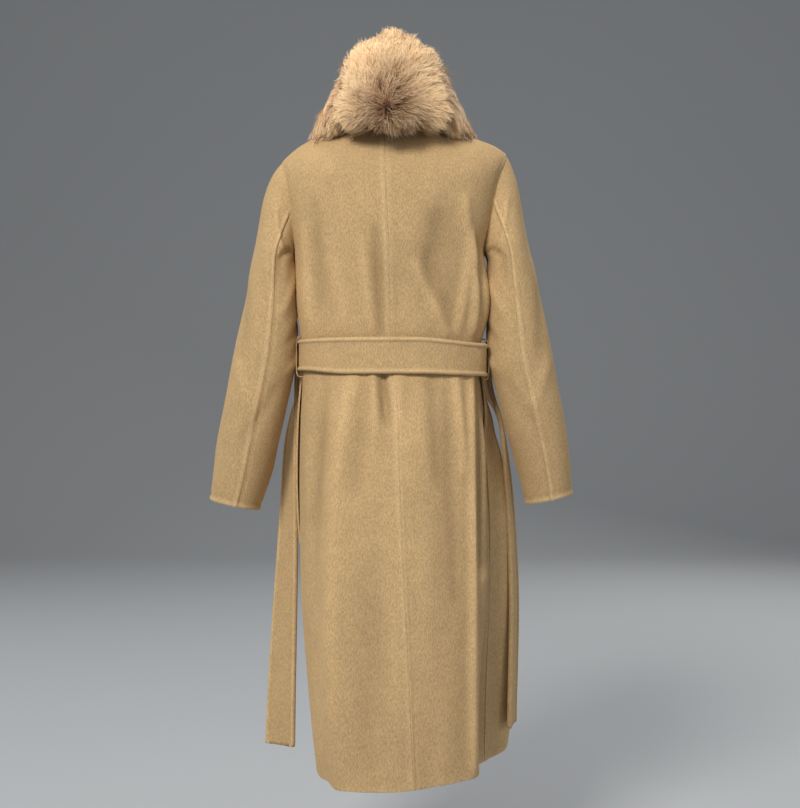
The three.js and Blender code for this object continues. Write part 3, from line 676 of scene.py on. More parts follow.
def armhole_distance(side, points):
    """Distance in millimetres from the armhole edge, seen from the side of the coat."""
    nearest = np.full(len(points), 1e9)
    for face in (1, -1):
        for place in armhole_edge(side, face, 60):
            nearest = np.minimum(nearest, np.linalg.norm(points - place, axis=1))
    return nearest


def edge_roll(distance, sizes):
    """A rolled edge: a low rounded ridge along the cut edge, with a groove behind it."""
    width = sizes.roll_width / MM
    raised = bell(distance - width * EDGE_ROLL["middle"], width * EDGE_ROLL["half"])
    groove = bell(distance - width * EDGE_ROLL["groove"], width * EDGE_ROLL["groove_half"])
    return raised * sizes.roll_height / MM - groove * sizes.groove / MM, raised


def build_panel(name, side, face, sizes, material):
    """A back or front panel: the body's own form, moved out by its creases, the swell over the belt,
    its raised seam and its rolled edges."""
    sheet = panel_sheet(side, face, sizes)
    p = sheet["points"]
    creases = BACK_CREASES if face > 0 else FRONT_CREASES
    lift = segment_crease(p[:, 0], p[:, 2], creases, "x0", "z0", "x1", "z1") * sizes.crease
    lift += unevenness(p[:, 0], p[:, 2], SWELL["body"]) * smooth(-p[:, 2] / SWELL["body_fade"])
    blouse = BLOUSE["left" if side > 0 else "right"] * swelling(p[:, 2] - BLOUSE["z"], BLOUSE["half"])
    lift += blouse * smooth((np.abs(p[:, 0]) - BLOUSE["from"]) / BLOUSE["over"])
    roll_height, roll = edge_roll(sheet["hem"], sizes)
    if face > 0:
        width = sizes.seam_width / MM
        strip = smooth((width * BACK_STRIP["half"] - np.abs(sheet["seam"])) / (width * BACK_STRIP["slope"]))
        groove = bell(sheet["seam"] + width * BACK_STRIP["groove"], width * BACK_STRIP["groove_half"])
        lift += strip * sizes.seam_height / MM - groove * sizes.groove / MM * BACK_STRIP["groove_depth"]
        roll = np.maximum(roll, STRIP_HIGHLIGHT * strip)
    else:
        front_edge, front_roll = edge_roll(np.abs(sheet["seam"]), sizes)
        lift += front_edge
        roll = np.maximum(roll, front_roll)
    armhole = bell(sheet["armhole"] - ARMHOLE_GROOVE["half"], ARMHOLE_GROOVE["half"])
    lift += roll_height - armhole * ARMHOLE_GROOVE["depth"]
    if face < 0 and side > 0:
        lift -= LAP_DEPTH * smooth((FRONT_LAP + LAP_STEP["from"] - p[:, 0]) / LAP_STEP["over"])
    relief = lerp(TOP_RELIEF["share"], 1, smooth(-sheet["top"] / TOP_RELIEF["over"]))
    points = p + sheet["normals"] * (lift * relief)[:, None]
    points[:, 2] = np.maximum(points[:, 2], -COAT_LENGTH)
    faces = grid_faces(sheet["number"])
    if side * face > 0:
        faces = faces[:, ::-1]
    # The roll and the lift also colour the wool: a painted highlight along rolled edges and seam strips,
    # painted shade in low places and painted light on high ones
    obj = make_mesh(name, points, faces, {"roll": roll, "lift": lift})
    add_wall(obj, sizes, roll * (sheet["hem"] < sizes.roll_width / MM))
    settle(obj, material, "wool", name.replace("coat_", ""))
    area, width, length = flat_size(points, sheet["number"])
    declare_sheet(area, width, length)
    return obj


def sleeve_ring(name, z, angle):
    """One ring of a sleeve: a tilted ellipse."""
    side = 1 if name == "left" else -1
    rows = SLEEVES[name]
    across = read(rows, "across", z) * np.cos(np.radians(angle))
    x = side * (read(rows, "x", z) + across)
    y = read(rows, "y", z) + read(rows, "deep", z) * np.sin(np.radians(angle))
    return np.stack(np.broadcast_arrays(x, y, z + read(rows, "tilt", z) * across), -1)


def armhole_start(name, angle):
    """Where a sleeve's columns begin: equal lengths along each half of the armhole."""
    side = 1 if name == "left" else -1
    wrapped = wrap(angle)
    share = np.abs(wrapped) / 180
    halves = []
    for face in (1, -1):
        edge = armhole_edge(side, face, 240)
        length = np.concatenate([[0], np.cumsum(np.linalg.norm(np.diff(edge, axis=0), axis=1))])
        at = share * length[-1]
        halves.append(np.stack([np.interp(at, length, edge[:, k]) for k in range(3)], -1))
    return np.where((wrapped >= 0)[..., None], halves[0], halves[1])


def sleeve_point(name, angle, along):
    """A sleeve: its cap is a cubic from the armhole to the first ring, and below that its points run
    through the rings."""
    side = 1 if name == "left" else -1
    rows = SLEEVES[name]
    first, cuff = rows["z"][0], rows["z"][-1]
    angle, along = np.broadcast_arrays(np.asarray(angle, float), np.asarray(along, float))
    lower = sleeve_ring(name, lerp(first, cuff, np.clip(along, 0, 1)), angle)
    start = armhole_start(name, angle)
    under = (1 - np.cos(np.radians(angle))) / 2
    start[..., 0] -= side * 2 * SEAM_LAP
    end = sleeve_ring(name, np.full(angle.shape, first), angle)
    reach = np.linalg.norm(end - start, axis=-1)[..., None] * CAP_REACH
    spread = lerp(CAP_SPREAD[name], CAP_SPREAD["under"], under)
    leave = np.stack([side * spread, 0 * spread, -np.sqrt(1 - spread**2)], -1)
    arrive = unit(sleeve_ring(name, np.full(angle.shape, first - 1), angle) - end)
    arrive[..., 0] += side * CAP_ARRIVE * (1 - under)
    t = np.clip(along + 1, 0, 1)[..., None]
    t2, t3 = t * t, t * t * t
    cap = start * (2 * t3 - 3 * t2 + 1) + leave * reach * (t3 - 2 * t2 + t)
    cap = cap + end * (3 * t2 - 2 * t3) + arrive * reach * (t3 - t2)
    return np.where((along >= 0)[..., None], lower, cap)


def sleeve_lift(name, angle, along, length, sizes):
    """How far the cloth of a sleeve stands off its rings: creases, slow unevenness, the strip of its
    back seam with the groove beside it, and the rolled cuff. Also how far each point is rolled."""
    side = 1 if name == "left" else -1
    turn = wrap(angle)
    off = (angle - SLEEVE_SEAM[name]) * np.radians(1) * SLEEVE_GIRTH
    around, down = turn * np.radians(SLEEVE_GIRTH), along * length
    lift = np.zeros(angle.shape)
    for whole_turn in (0, 360):
        creases = dict(SLEEVE_CREASES)
        for key in ("angle0", "angle1"):
            creases[key] = (SLEEVE_CREASES[key] - whole_turn) * np.radians(SLEEVE_GIRTH)
        for key in ("along0", "along1"):
            creases[key] = SLEEVE_CREASES[key] * length
        lift += segment_crease(around, down, creases, "angle0", "along0", "angle1", "along1")
    lift *= sizes.crease
    lift += unevenness(around, down + SWELL["sleeve_shift"] * side, SWELL["sleeve"])
    half = SLEEVE_STRIP["half"]
    strip = smooth((half * SLEEVE_STRIP["cover"] - np.abs(off)) / (half * SLEEVE_STRIP["slope"]))
    groove = bell(off - half * SLEEVE_STRIP["groove"], half * SLEEVE_STRIP["groove_half"])
    lift += strip * sizes.seam_height / MM * SLEEVE_STRIP_HEIGHT["strip"]
    lift -= groove * sizes.groove / MM * SLEEVE_STRIP_HEIGHT["groove"]
    cuff_height, cuff_roll = edge_roll((1 - along) * length, sizes)
    lift += cuff_height
    lift *= smooth((along + 1) * 6)
    return lift, cuff_roll, np.maximum(cuff_roll, STRIP_HIGHLIGHT * strip)


def build_sleeve(name, part, sizes, material):
    """Half of a two-piece sleeve between its seams. The back seam is a raised strip that belongs to
    the upper half, with a groove beside it, and the cuff is a rolled edge."""
    side = 1 if name == "left" else -1
    seam = SLEEVE_SEAM[name]
    rings = SLEEVES[name]
    first, cuff = rings["z"][0], rings["z"][-1]
    start, end = (FRONT_SEAM_ANGLE, seam) if part == "upper" else (seam, 360 + FRONT_SEAM_ANGLE)
    columns, cap_rows, rows = (56 if part == "upper" else 38), 40, 90
    along = np.concatenate([np.arange(-cap_rows, 0) / cap_rows, np.linspace(0, 1, rows + 1)])[:, None]
    girth = read(rings, "across", lerp(first, cuff, np.clip(along, 0, 1)))
    strip = np.degrees(SLEEVE_STRIP["half"] / girth)
    low = start + (strip if part == "under" else 0) + SLEEVE_SEAM_GAP
    high = end + (strip if part == "upper" else 0) - SLEEVE_SEAM_GAP
    angle = lerp(low, high, np.linspace(0, 1, columns + 1)[None, :] * np.ones_like(along))
    along = along * np.ones_like(angle)
    points = sleeve_point(name, angle, along)
    h = 0.006
    v0 = np.clip(along, -1, 1 - h)
    u = sleeve_point(name, angle + 1, along) - sleeve_point(name, angle - 1, along)
    v = sleeve_point(name, angle, v0 + h) - sleeve_point(name, angle, v0)
    normals = unit(np.cross(u, v)) * -side
    lift, cuff_roll, roll = sleeve_lift(name, angle, along, first - cuff, sizes)
    number = np.arange(angle.size).reshape(angle.shape)
    faces = grid_faces(number)
    if side > 0:
        faces = faces[:, ::-1]
    points = (points + normals * lift[..., None]).reshape(-1, 3)
    # The roll and the lift also colour the wool: a painted highlight along the cuff and seam strip, painted
    # shade in low places and painted light on high ones
    values = {"roll": roll.ravel(), "lift": lift.ravel()}
    obj = make_mesh(f"sleeve_{part}_{name}_cloth", points, faces, values)
    at_cuff = (1 - along) * (first - cuff) < sizes.roll_width / MM
    add_wall(obj, sizes, (cuff_roll * at_cuff).ravel())
    settle(obj, material, "wool", f"sleeve_{part}_{name}")
    area, _, length = flat_size(points, number)
    declare_sheet(area, area / length, length)
    return obj


def belt_place(turn):
    """Where the middle of the belt lies at one turn round the waist, and the way it faces: it rides
    on the farthest of five places of the body under its width."""
    side = np.where(turn < 90, 1, -1)
    angle = np.where(side > 0, np.abs(turn), np.abs(180 - turn))
    places = np.zeros(turn.shape + (3,))
    out = np.zeros_like(places)
    reach = np.zeros(turn.shape)
    for s in (1, -1):
        for face in (1, -1):
            here = (side == s) & ((turn >= 0) & (turn <= 180) if face > 0 else (turn < 0) | (turn > 180))
            if not here.any():
                continue
            a = angle[here]
            n = body_normal(s, face, np.clip(a, 0.5, 89.5), np.full(a.shape, float(BELT["middle"])))
            n[:, 2] = 0
            n = unit(n)
            far = [
                (body_point(s, face, a, np.full(a.shape, BELT["middle"] + k * BELT["width"])) * n).sum(-1)
                for k in (-0.5, -0.25, 0, 0.25, 0.5)
            ]
            places[here] = body_point(s, face, a, np.full(a.shape, float(BELT["middle"])))
            out[here] = n
            reach[here] = np.max(far, axis=0)
    stand = reach + BELT["edge"] / 2 + BELT["clear"] - (places * out).sum(-1)
    return places + out * stand[..., None], out


def belt_section():
    """Outline of the belt's section: across from -1 to 1 and out in millimetres. A thin flat middle
    carries a round roll along both edges, joined by the larger of the two half thicknesses."""
    w = np.sin(np.linspace(-np.pi / 2, np.pi / 2, 44))
    radius = BELT["edge"] / 2
    off = (np.abs(w) * BELT["width"] / 2 - (BELT["width"] / 2 - radius)) / radius
    cord = radius * np.sqrt(np.maximum(1 - off**2, 0))
    flat = np.where(off < 0, BELT["flat"] / 2, 0)
    half = (flat**4 + cord**4) ** 0.25
    roll = smooth(1 - np.abs(off))
    across = np.concatenate([w, w[-2:0:-1]])
    out = np.concatenate([half, -half[-2:0:-1]])
    return across, out, np.concatenate([roll, roll[-2:0:-1]])


def close_ribbon(name, rings, attributes):
    """A solid ribbon through rings of points, its two ends closed by a fan from their middle."""
    rows, around = rings.shape[:2]
    number = np.arange(rows * around).reshape(rows, around)
    wrapped = np.concatenate([number, number[:, :1]], 1)
    quads = grid_faces(wrapped)
    triangles = np.concatenate([quads[:, [0, 1, 2]], quads[:, [0, 2, 3]]])
    points = [rings.reshape(-1, 3)]
    for row, turned in ((0, 1), (rows - 1, -1)):
        centre = rows * around + len(points) - 1
        points.append(rings[row].mean(0)[None, :])
        ring = number[row]
        fan = np.stack([np.roll(ring, -1), ring, np.full(around, centre)], -1)
        triangles = np.concatenate([triangles, fan[:, ::turned]])
    all_points = np.concatenate(points)
    a, b, c = (all_points[triangles[:, k]] for k in range(3))
    if (a * np.cross(b, c)).sum() < 0:
        triangles = triangles[:, ::-1]
    values = {key: np.concatenate([v.ravel(), [0, 0]]) for key, v in attributes.items()}
    return make_mesh(name, all_points, triangles, values)


def build_belt_waist(material):
    """The belt round the back: its section carried round the waist, its ends cut on the slant. It
    sinks and narrows a little towards its ends, and ripples beside them."""
    across, out, roll = belt_section()
    t = np.linspace(-1, 1, 151)[:, None]
    turn = 90 + t * (90 + BELT_END["angle"])
    near_end = smooth((np.abs(t) - BELT_END["from"]) / (1 - BELT_END["from"]))
    place, facing = belt_place(turn - np.sign(t) * BELT_END["slant"] * near_end * across)
    x, y = place[..., 0], place[..., 1]
    rise = unevenness(x, y, SWELL["belt"])
    narrow = np.ones_like(x)
    for side in BELT_SIDES.values():
        near = smooth((x - side["x"]) / side["over"])
        rise = rise + side["rise"] * near
        narrow = narrow - side["narrow"] * near
    place[..., 2] += across * BELT["width"] / 2 * narrow + rise
    ripple = BELT_RIPPLE["height"] * np.sin(x / BELT_RIPPLE["length"] + BELT_RIPPLE["phase"])
    buckle = ripple * swelling(np.abs(x) - BELT_RIPPLE["x"], BELT_RIPPLE["half"])
    fold = (BELT_FOLD["middle"] + BELT_FOLD["lean"] * across) * BELT_FOLD["height"]
    fold = fold * swelling(x - BELT_FOLD["x"], BELT_FOLD["half"])
    buckle = buckle + fold * smooth((y - BELT_FOLD["y"]) / BELT_FOLD["over"])
    rings = place + facing * (out + buckle)[..., None]
    # The belt's rolls take the paler edge colour, a painted highlight
    obj = close_ribbon("belt_waist_cloth", rings, {"roll": roll * np.ones_like(x), "lift": 0 * x})
    settle(obj, material, "wool", "belt_waist")
    return obj


def build_loop(name, material):
    """A narrow belt loop: a flat strip carried over the belt from the coat above it to the coat below,
    along a half superellipse."""
    side = 1 if name == "left" else -1
    turn = LOOP["turn"] if side > 0 else 180 - LOOP["turn"]
    place, facing = belt_place(np.array([float(turn)]))
    place, facing = place[0], facing[0]
    coat = body_point(side, 1, LOOP["turn"], BELT["middle"] + np.array([1, -1]) * LOOP["height"] / 2)
    foot = ((coat - place) * facing).sum(-1)
    reach = BELT["edge"] / 2 + LOOP["clear"] + LOOP["thick"] / 2
    bend = np.linspace(np.pi / 2, -np.pi / 2, 64)
    up = power(np.sin(bend), LOOP_SHAPE["length"]) * LOOP["height"] / 2
    start = lerp(foot[1], foot[0], up / LOOP["height"] + 0.5) - LOOP["thick"] / 2
    out = start + (reach - start) * np.cos(bend).clip(0) ** LOOP_SHAPE["out"]
    path = place + facing * out[:, None]
    path[:, 2] = BELT["middle"] + up - LOOP["sag"][name]
    along = unit(np.gradient(path, axis=0))
    wide = np.cross([0, 0, 1.0], facing)
    normal = unit(np.cross(along, wide))
    around = np.linspace(0, 2 * np.pi, 20, endpoint=False)
    w = power(np.cos(around), LOOP_SHAPE["across"]) * LOOP["width"] / 2
    n = power(np.sin(around), LOOP_SHAPE["through"]) * LOOP["thick"] / 2
    rings = path[:, None] + wide * w[None, :, None] + normal[:, None] * n[None, :, None]
    flat = np.zeros(rings.shape[:2])
    # The loop takes part of the paler edge colour, a painted highlight
    obj = close_ribbon(f"belt_loop_{name}_cloth", rings, {"roll": flat + LOOP_SHAPE["tone"], "lift": flat})
    settle(obj, material, "wool", f"belt_loop_{name}")


def build_belt_tail(name, material):
    """A hanging end of the belt: its section carried down and slowly turned, its top cut on the slant
    of the fold. It bows along its length and cups across it."""
    side = 1 if name == "left" else -1
    rows = TAILS[name]
    top, bottom = rows["z"][0], rows["z"][-1]
    across, out, roll = belt_section()
    z = np.linspace(top, bottom, 110)[:, None]
    turn = np.radians(read(rows, "turn", z))
    slant = -smooth(1 - (top - z) / TAIL_SLANT_FADE)
    middle = np.stack([side * read(rows, "x", z), read(rows, "y", z), z], -1)
    wide = np.stack([side * np.cos(turn), -np.sin(turn), slant], -1)
    facing = np.stack([side * np.sin(turn), np.cos(turn), 0 * turn], -1)

    def wave(shape):
        low = smooth((top - shape["from"] - z) / shape["over"])
        return shape["height"] * np.sin(z / shape["length"] + shape["turn"] * side) * low

    stand = out + wave(TAIL_BOW) + across**2 * wave(TAIL_CUP)
    half = across * (1 - TAIL_TIP_NARROW * (z <= bottom + 1)) * BELT["width"] / 2
    rings = middle + wide * half[..., None] + facing * stand[..., None]
    even = 0 * stand
    # The rolls of the belt's end take the paler edge colour, a painted highlight
    obj = close_ribbon(f"belt_tail_{name}_cloth", rings, {"roll": roll + even, "lift": even})
    settle(obj, material, "wool", f"belt_tail_{name}")
    return obj


def body_depth(x, y, z):
    """How far from the coat's middle plane its cloth lies at a place."""
    half = np.where(x > 0, read(SECTIONS, "left", z), read(SECTIONS, "right", z))
    depth = np.where(y > 0, read(SECTIONS, "back", z), read(SECTIONS, "front", z))
    n = np.where(y > 0, SQUARENESS["back"], SQUARENESS["front"])
    return depth * (1 - np.clip(np.abs(x) / half, 0, 1) ** n) ** (1 / n) * opening(x, z)


def outside_body(points, clear):
    """Points that lie in the coat are moved out of its cloth by the shorter way, outward or up. Also
    tells which of them lay deep in it."""
    deep = clear + 1.5
    x, y, z = points[..., 0], points[..., 1], points[..., 2]
    out = body_depth(x, y, z) + clear - np.abs(y)
    along = np.clip(np.abs(x) / NECK_HALF, 0, 1)
    up = ridge(x) - NECK_DIP_BACK * np.cos(along * np.pi / 2) ** 2 * (y > 0) + clear - z
    inside = (out > 0) & (up > 0) & (np.abs(x) < SHOULDER_REACH)
    sideways = inside & (out <= up)
    moved = points.copy()
    moved[..., 1] = np.where(sideways, y + np.sign(y) * out, y)
    moved[..., 2] = np.where(inside & ~sideways, z + up, z)
    return moved, inside & (np.minimum(out, up) > deep)


def collar_skin_point(u, around, depth):
    """The collar: rounded superellipses carried along its path, at a depth under the fur's outline,
    drawn in and down at its crown. u is -1 to 1 from the wearer's right end to the left one, around
    is radians from the lower edge."""
    corner = 0.85
    thin = 20
    u, around = np.broadcast_arrays(np.asarray(u, float), np.asarray(around, float))

    def along(v, *names):
        return [read(COLLAR, name, np.abs(v) * COLLAR_LAST, by="i") for name in names]

    def middle(v):
        x, y, z = along(v, "x", "y", "z")
        return np.stack([COLLAR_SHIFT + np.where(v < 0, -x, x), y, z], -1)

    nx, ny, nz, half, thick = along(u, "nx", "ny", "nz", "half", "thick")
    outward = unit(np.stack([np.where(u < 0, -nx, nx), ny, nz], -1))
    path = unit(middle(np.minimum(u + 0.01, 1)) - middle(np.maximum(u - 0.01, -1)))
    wide = unit(np.cross(outward, path))
    facing = np.cross(path, wide)
    under = depth * np.minimum(1, thick * 0.62 / thin)
    reach = (half - under * lerp(1, 0.3, smooth(np.cos(around)))) * power(np.cos(around), corner)
    rise = (thick - under) * power(np.sin(around), corner)
    point = middle(u) + wide * reach[..., None] + facing * rise[..., None]
    high = smooth((point[..., 2] - CROWN_SHAPE["z"]) / CROWN_SHAPE["rise"])
    crown = high * smooth((point[..., 1] - CROWN_SHAPE["y"]) / CROWN_SHAPE["run"])
    drawn_in = COLLAR_SHIFT + CROWN_SHAPE["narrow"] * (point[..., 0] - COLLAR_SHIFT)
    point[..., 0] = lerp(point[..., 0], drawn_in, crown)
    point[..., 2] -= CROWN_SHAPE["sink"] * crown
    return point


def collar_normal(u, around, depth):
    """Outward normal of the collar's skin, and the sizes of its two steps."""
    h = 0.004
    low, high = np.clip(u - h, -1, 1), np.clip(u + h, -1, 1)
    du = collar_skin_point(high, around, depth) - collar_skin_point(low, around, depth)
    da = collar_skin_point(u, around + h, depth) - collar_skin_point(u, around - h, depth)
    size_u = np.linalg.norm(du, axis=-1) / (high - low)
    size_a = np.linalg.norm(da, axis=-1) / (2 * h)
    normal = unit(np.cross(da, du))
    middle = (collar_skin_point(u, around, depth) + collar_skin_point(u, around + np.pi, depth)) / 2
    inward = (normal * (collar_skin_point(u, around, depth) - middle)).sum(-1) < 0
    return np.where(inward[..., None], -normal, normal), size_u, size_a


def comb(points, normals, sizes):
    """The way the fur lies on the skin: away from the dark whorl at the nape on the back, down and
    outward on the wings and the fronts. Also the distance from the whorl, and how much of the back's
    own fur a place has: 1 on the back, 0 on the wings and the fronts."""
    away = points - np.array(sizes.whorl[:]) / MM
    near = np.linalg.norm(away[:, ::2], axis=1)
    side = np.sign(points[:, 0] - COLLAR_SHIFT)
    front = smooth((FRONTS["y"] - points[:, 1]) / FRONTS["over"])
    wing = smooth((np.abs(points[:, 0] - COLLAR_SHIFT) - WINGS["x"]) / WINGS["over"]) * (1 - front)
    back = unit(away * np.array([1, 0.35, 1]))
    mirror = np.stack([side, np.ones_like(side), np.ones_like(side)], -1)
    hanging = HANG_SHARE * wing
    lie = back * (1 - hanging - front)[:, None]
    lie = lie + mirror * HANG["wing"] * hanging[:, None] + mirror * HANG["front"] * front[:, None]
    waves = unevenness(points[:, 0] * 3, points[:, 2] * 3, 0.5)
    lie = lie + np.cross(normals, lie) * waves[:, None]
    lie = unit(lie - normals * (lie * normals).sum(1, keepdims=True))
    return lie, near, (1 - front) * (1 - wing)


def build_collar_skin(sizes, material):
    """The collar's body under its fur, closed at both ends."""
    u = np.sin(np.linspace(-np.pi / 2, np.pi / 2, 90))[:, None]
    around = np.linspace(0, 2 * np.pi, 60, endpoint=False)[None, :]
    points = collar_skin_point(u, around, sizes.depth / MM)
    moved, _ = outside_body(points, SKIN_CLEAR)
    even = 0 * points[..., 0]
    obj = close_ribbon("collar_skin", moved, {"tip": even, "shade": even})
    settle(obj, material, "fur", "collar_fur")
    return obj


def tuft_means(points, tuft, tufts, count):
    """Middle of each tuft's points."""
    return np.stack([np.bincount(tuft, points[:, k], tufts) / count for k in range(3)], -1)


def scatter_hairs(low, high, count, depth, sizes, rng):
    """Places of the hairs on the skin: tufts stand at random places of equal area, and the hairs of a
    tuft start around it. Gives u, around and the number of the tuft for each hair."""
    steps_u, steps_a, least = 90, 160, 20
    grid_u, grid_a = np.meshgrid(
        np.linspace(low, high, steps_u), np.linspace(-np.pi, np.pi, steps_a), indexing="ij"
    )
    _, size_u, size_a = collar_normal(grid_u, grid_a, depth)
    area = size_u * size_a
    cell = rng.choice(area.size, sizes.tufts, p=(area / area.sum()).ravel())
    tuft_u = grid_u.ravel()[cell] + rng.uniform(-0.5, 0.5, cell.size) * (high - low) / (steps_u - 1)
    tuft_a = grid_a.ravel()[cell] + rng.uniform(-0.5, 0.5, cell.size) * 2 * np.pi / (steps_a - 1)
    spread = rng.normal(0, 1, (2, cell.size, count)) * sizes.tuft_radius / MM
    u = tuft_u[:, None] + spread[0] / np.maximum(size_u.ravel()[cell], least)[:, None]
    a = tuft_a[:, None] + spread[1] / np.maximum(size_a.ravel()[cell], least)[:, None]
    return np.clip(u, -0.998, 0.998).ravel(), a.ravel(), np.repeat(np.arange(cell.size), count)


def furrow_at(points):
    """How far a place lies in the furrow between the middle of the fur and its wings."""
    divide = FURROW["x"] - FURROW["lean"] * (points[:, 2] - FURROW["z"])
    furrow = swelling(np.abs(points[:, 0] - COLLAR_SHIFT) - divide, FURROW["half"])
    return furrow * (smooth((FURROW["top"] - points[:, 2]) / FURROW["over"]) * (points[:, 1] > FURROW["y"]))


def crown_at(points):
    """How far a place lies on the crown of the collar."""
    return smooth((points[:, 2] - CROWN["z"]) / CROWN["over"])


def hair_lengths(root, u, tuft, back, sizes, rng):
    """Length of each hair: shorter in front, at the collar's ends, at the crown, below the whorl, in
    the notch and in the furrow, longer along the lower edge, uneven from tuft to tuft, with a few
    longer guard hairs."""
    side = np.abs(root[:, 0] - COLLAR_SHIFT)
    full = sizes.length / MM
    ends = smooth((1 - np.abs(u)) / HAIR_LENGTH["end_part"])
    length = full * lerp(HAIR_LENGTH["front"], 1, back) * lerp(HAIR_LENGTH["end"], 1, ends)
    below = smooth((sizes.whorl[2] / MM + BELOW_WHORL["shift"] - root[:, 2]) / BELOW_WHORL["over"])
    below = below * (root[:, 1] > BELOW_WHORL["y"])
    notch = swelling(side - NOTCH["x"], NOTCH["half"])
    length = length * (1 - BELOW_WHORL["short"] * below) * (1 - NOTCH["short"] * notch * below)
    length = length * (1 - FURROW_FUR["short"] * furrow_at(root))
    lower_edge = smooth((LOWER_EDGE["z"] - root[:, 2]) / LOWER_EDGE["over"])
    length = length * (1 - CROWN["short"] * crown_at(root)) * (1 + LOWER_EDGE["long"] * lower_edge)
    of_tuft = rng.normal(1, HAIR_SCATTER["tuft"], sizes.tufts)[tuft]
    length = length * (of_tuft + rng.normal(0, HAIR_SCATTER["hair"], tuft.size))
    guard = rng.random(tuft.size) < HAIR_SCATTER["guards"]
    length = length * np.where(guard, HAIR_SCATTER["guard"], 1)
    return np.clip(length, HAIR_LENGTH["least"], full * HAIR_LENGTH["most"])


def hair_lines(root, normal, lie, length, stand, tuft, count, sizes, rng):
    """Four places along each hair: it rises from the skin and bends down to the way it is combed, its
    tuft draws it together towards the tips, and it stays outside the cloth."""
    rise, run = np.sin(stand), np.cos(stand)
    line = [root]
    for share, bend, _ in HAIR_LINE:
        climb = normal * (length * share * rise * bend)[:, None]
        line.append(root + climb + lie * (length * share * run * (2 - bend) ** 0.5)[:, None])
    pull = sizes.gather * rng.uniform(0.55, 1.0, tuft.size)[:, None]
    for row, (_, _, drawn) in enumerate(HAIR_LINE, 1):
        toward = tuft_means(line[row], tuft, sizes.tufts, count)[tuft] - line[row]
        toward -= lie * (toward * lie).sum(1, keepdims=True)
        line[row] = line[row] + toward * pull * drawn
    for row in (2, 3):
        line[row][:, 2] -= HAIR_SAG * (row - 1)
        line[row], _ = outside_body(line[row], HAIR_CLEAR["high"])
    line[1], _ = outside_body(line[1], HAIR_CLEAR["low"])
    return line


def hair_ribbons(line, flat, width):
    """Each hair as a narrow ribbon of five triangles: three pairs of points, then its tip."""
    total = len(width)
    rows = []
    for part, share in zip(line[:3], HAIR_TAPER):
        half = flat * (width * share / 2)[:, None]
        rows += [part - half, part + half]
    corner = [np.arange(total) + k * total for k in range(7)]
    strips = ((0, 1, 3), (0, 3, 2), (2, 3, 5), (2, 5, 4), (4, 5, 6))
    faces = np.concatenate([np.stack([corner[k] for k in strip], -1) for strip in strips])
    return np.concatenate(rows + [line[3]]), faces


def dark_roots_and_painted_shade(root, furrow, back, sizes):
    """Where the fur is darkened: its dark roots at the whorl at the nape, and painted shade in the two
    notches and in the furrows.
    """
    from_whorl = root - np.array(sizes.whorl[:]) / MM
    from_whorl[:, 2] *= np.where(from_whorl[:, 2] > 0, WHORL_FLAT_TOP, 1)
    off = np.linalg.norm(from_whorl[:, ::2], axis=1)
    whorl = swelling(off, sizes.whorl_radius / MM) * back
    off = np.hypot(np.abs(root[:, 0] - COLLAR_SHIFT) - NOTCH_SHADE["x"], root[:, 2] - NOTCH_SHADE["z"])
    notch = NOTCH_SHADE["dark"] * swelling(off, NOTCH_SHADE["half"]) * (root[:, 1] > FURROW["y"])
    return np.maximum(np.maximum(whorl, notch), FURROW_FUR["dark"] * furrow)


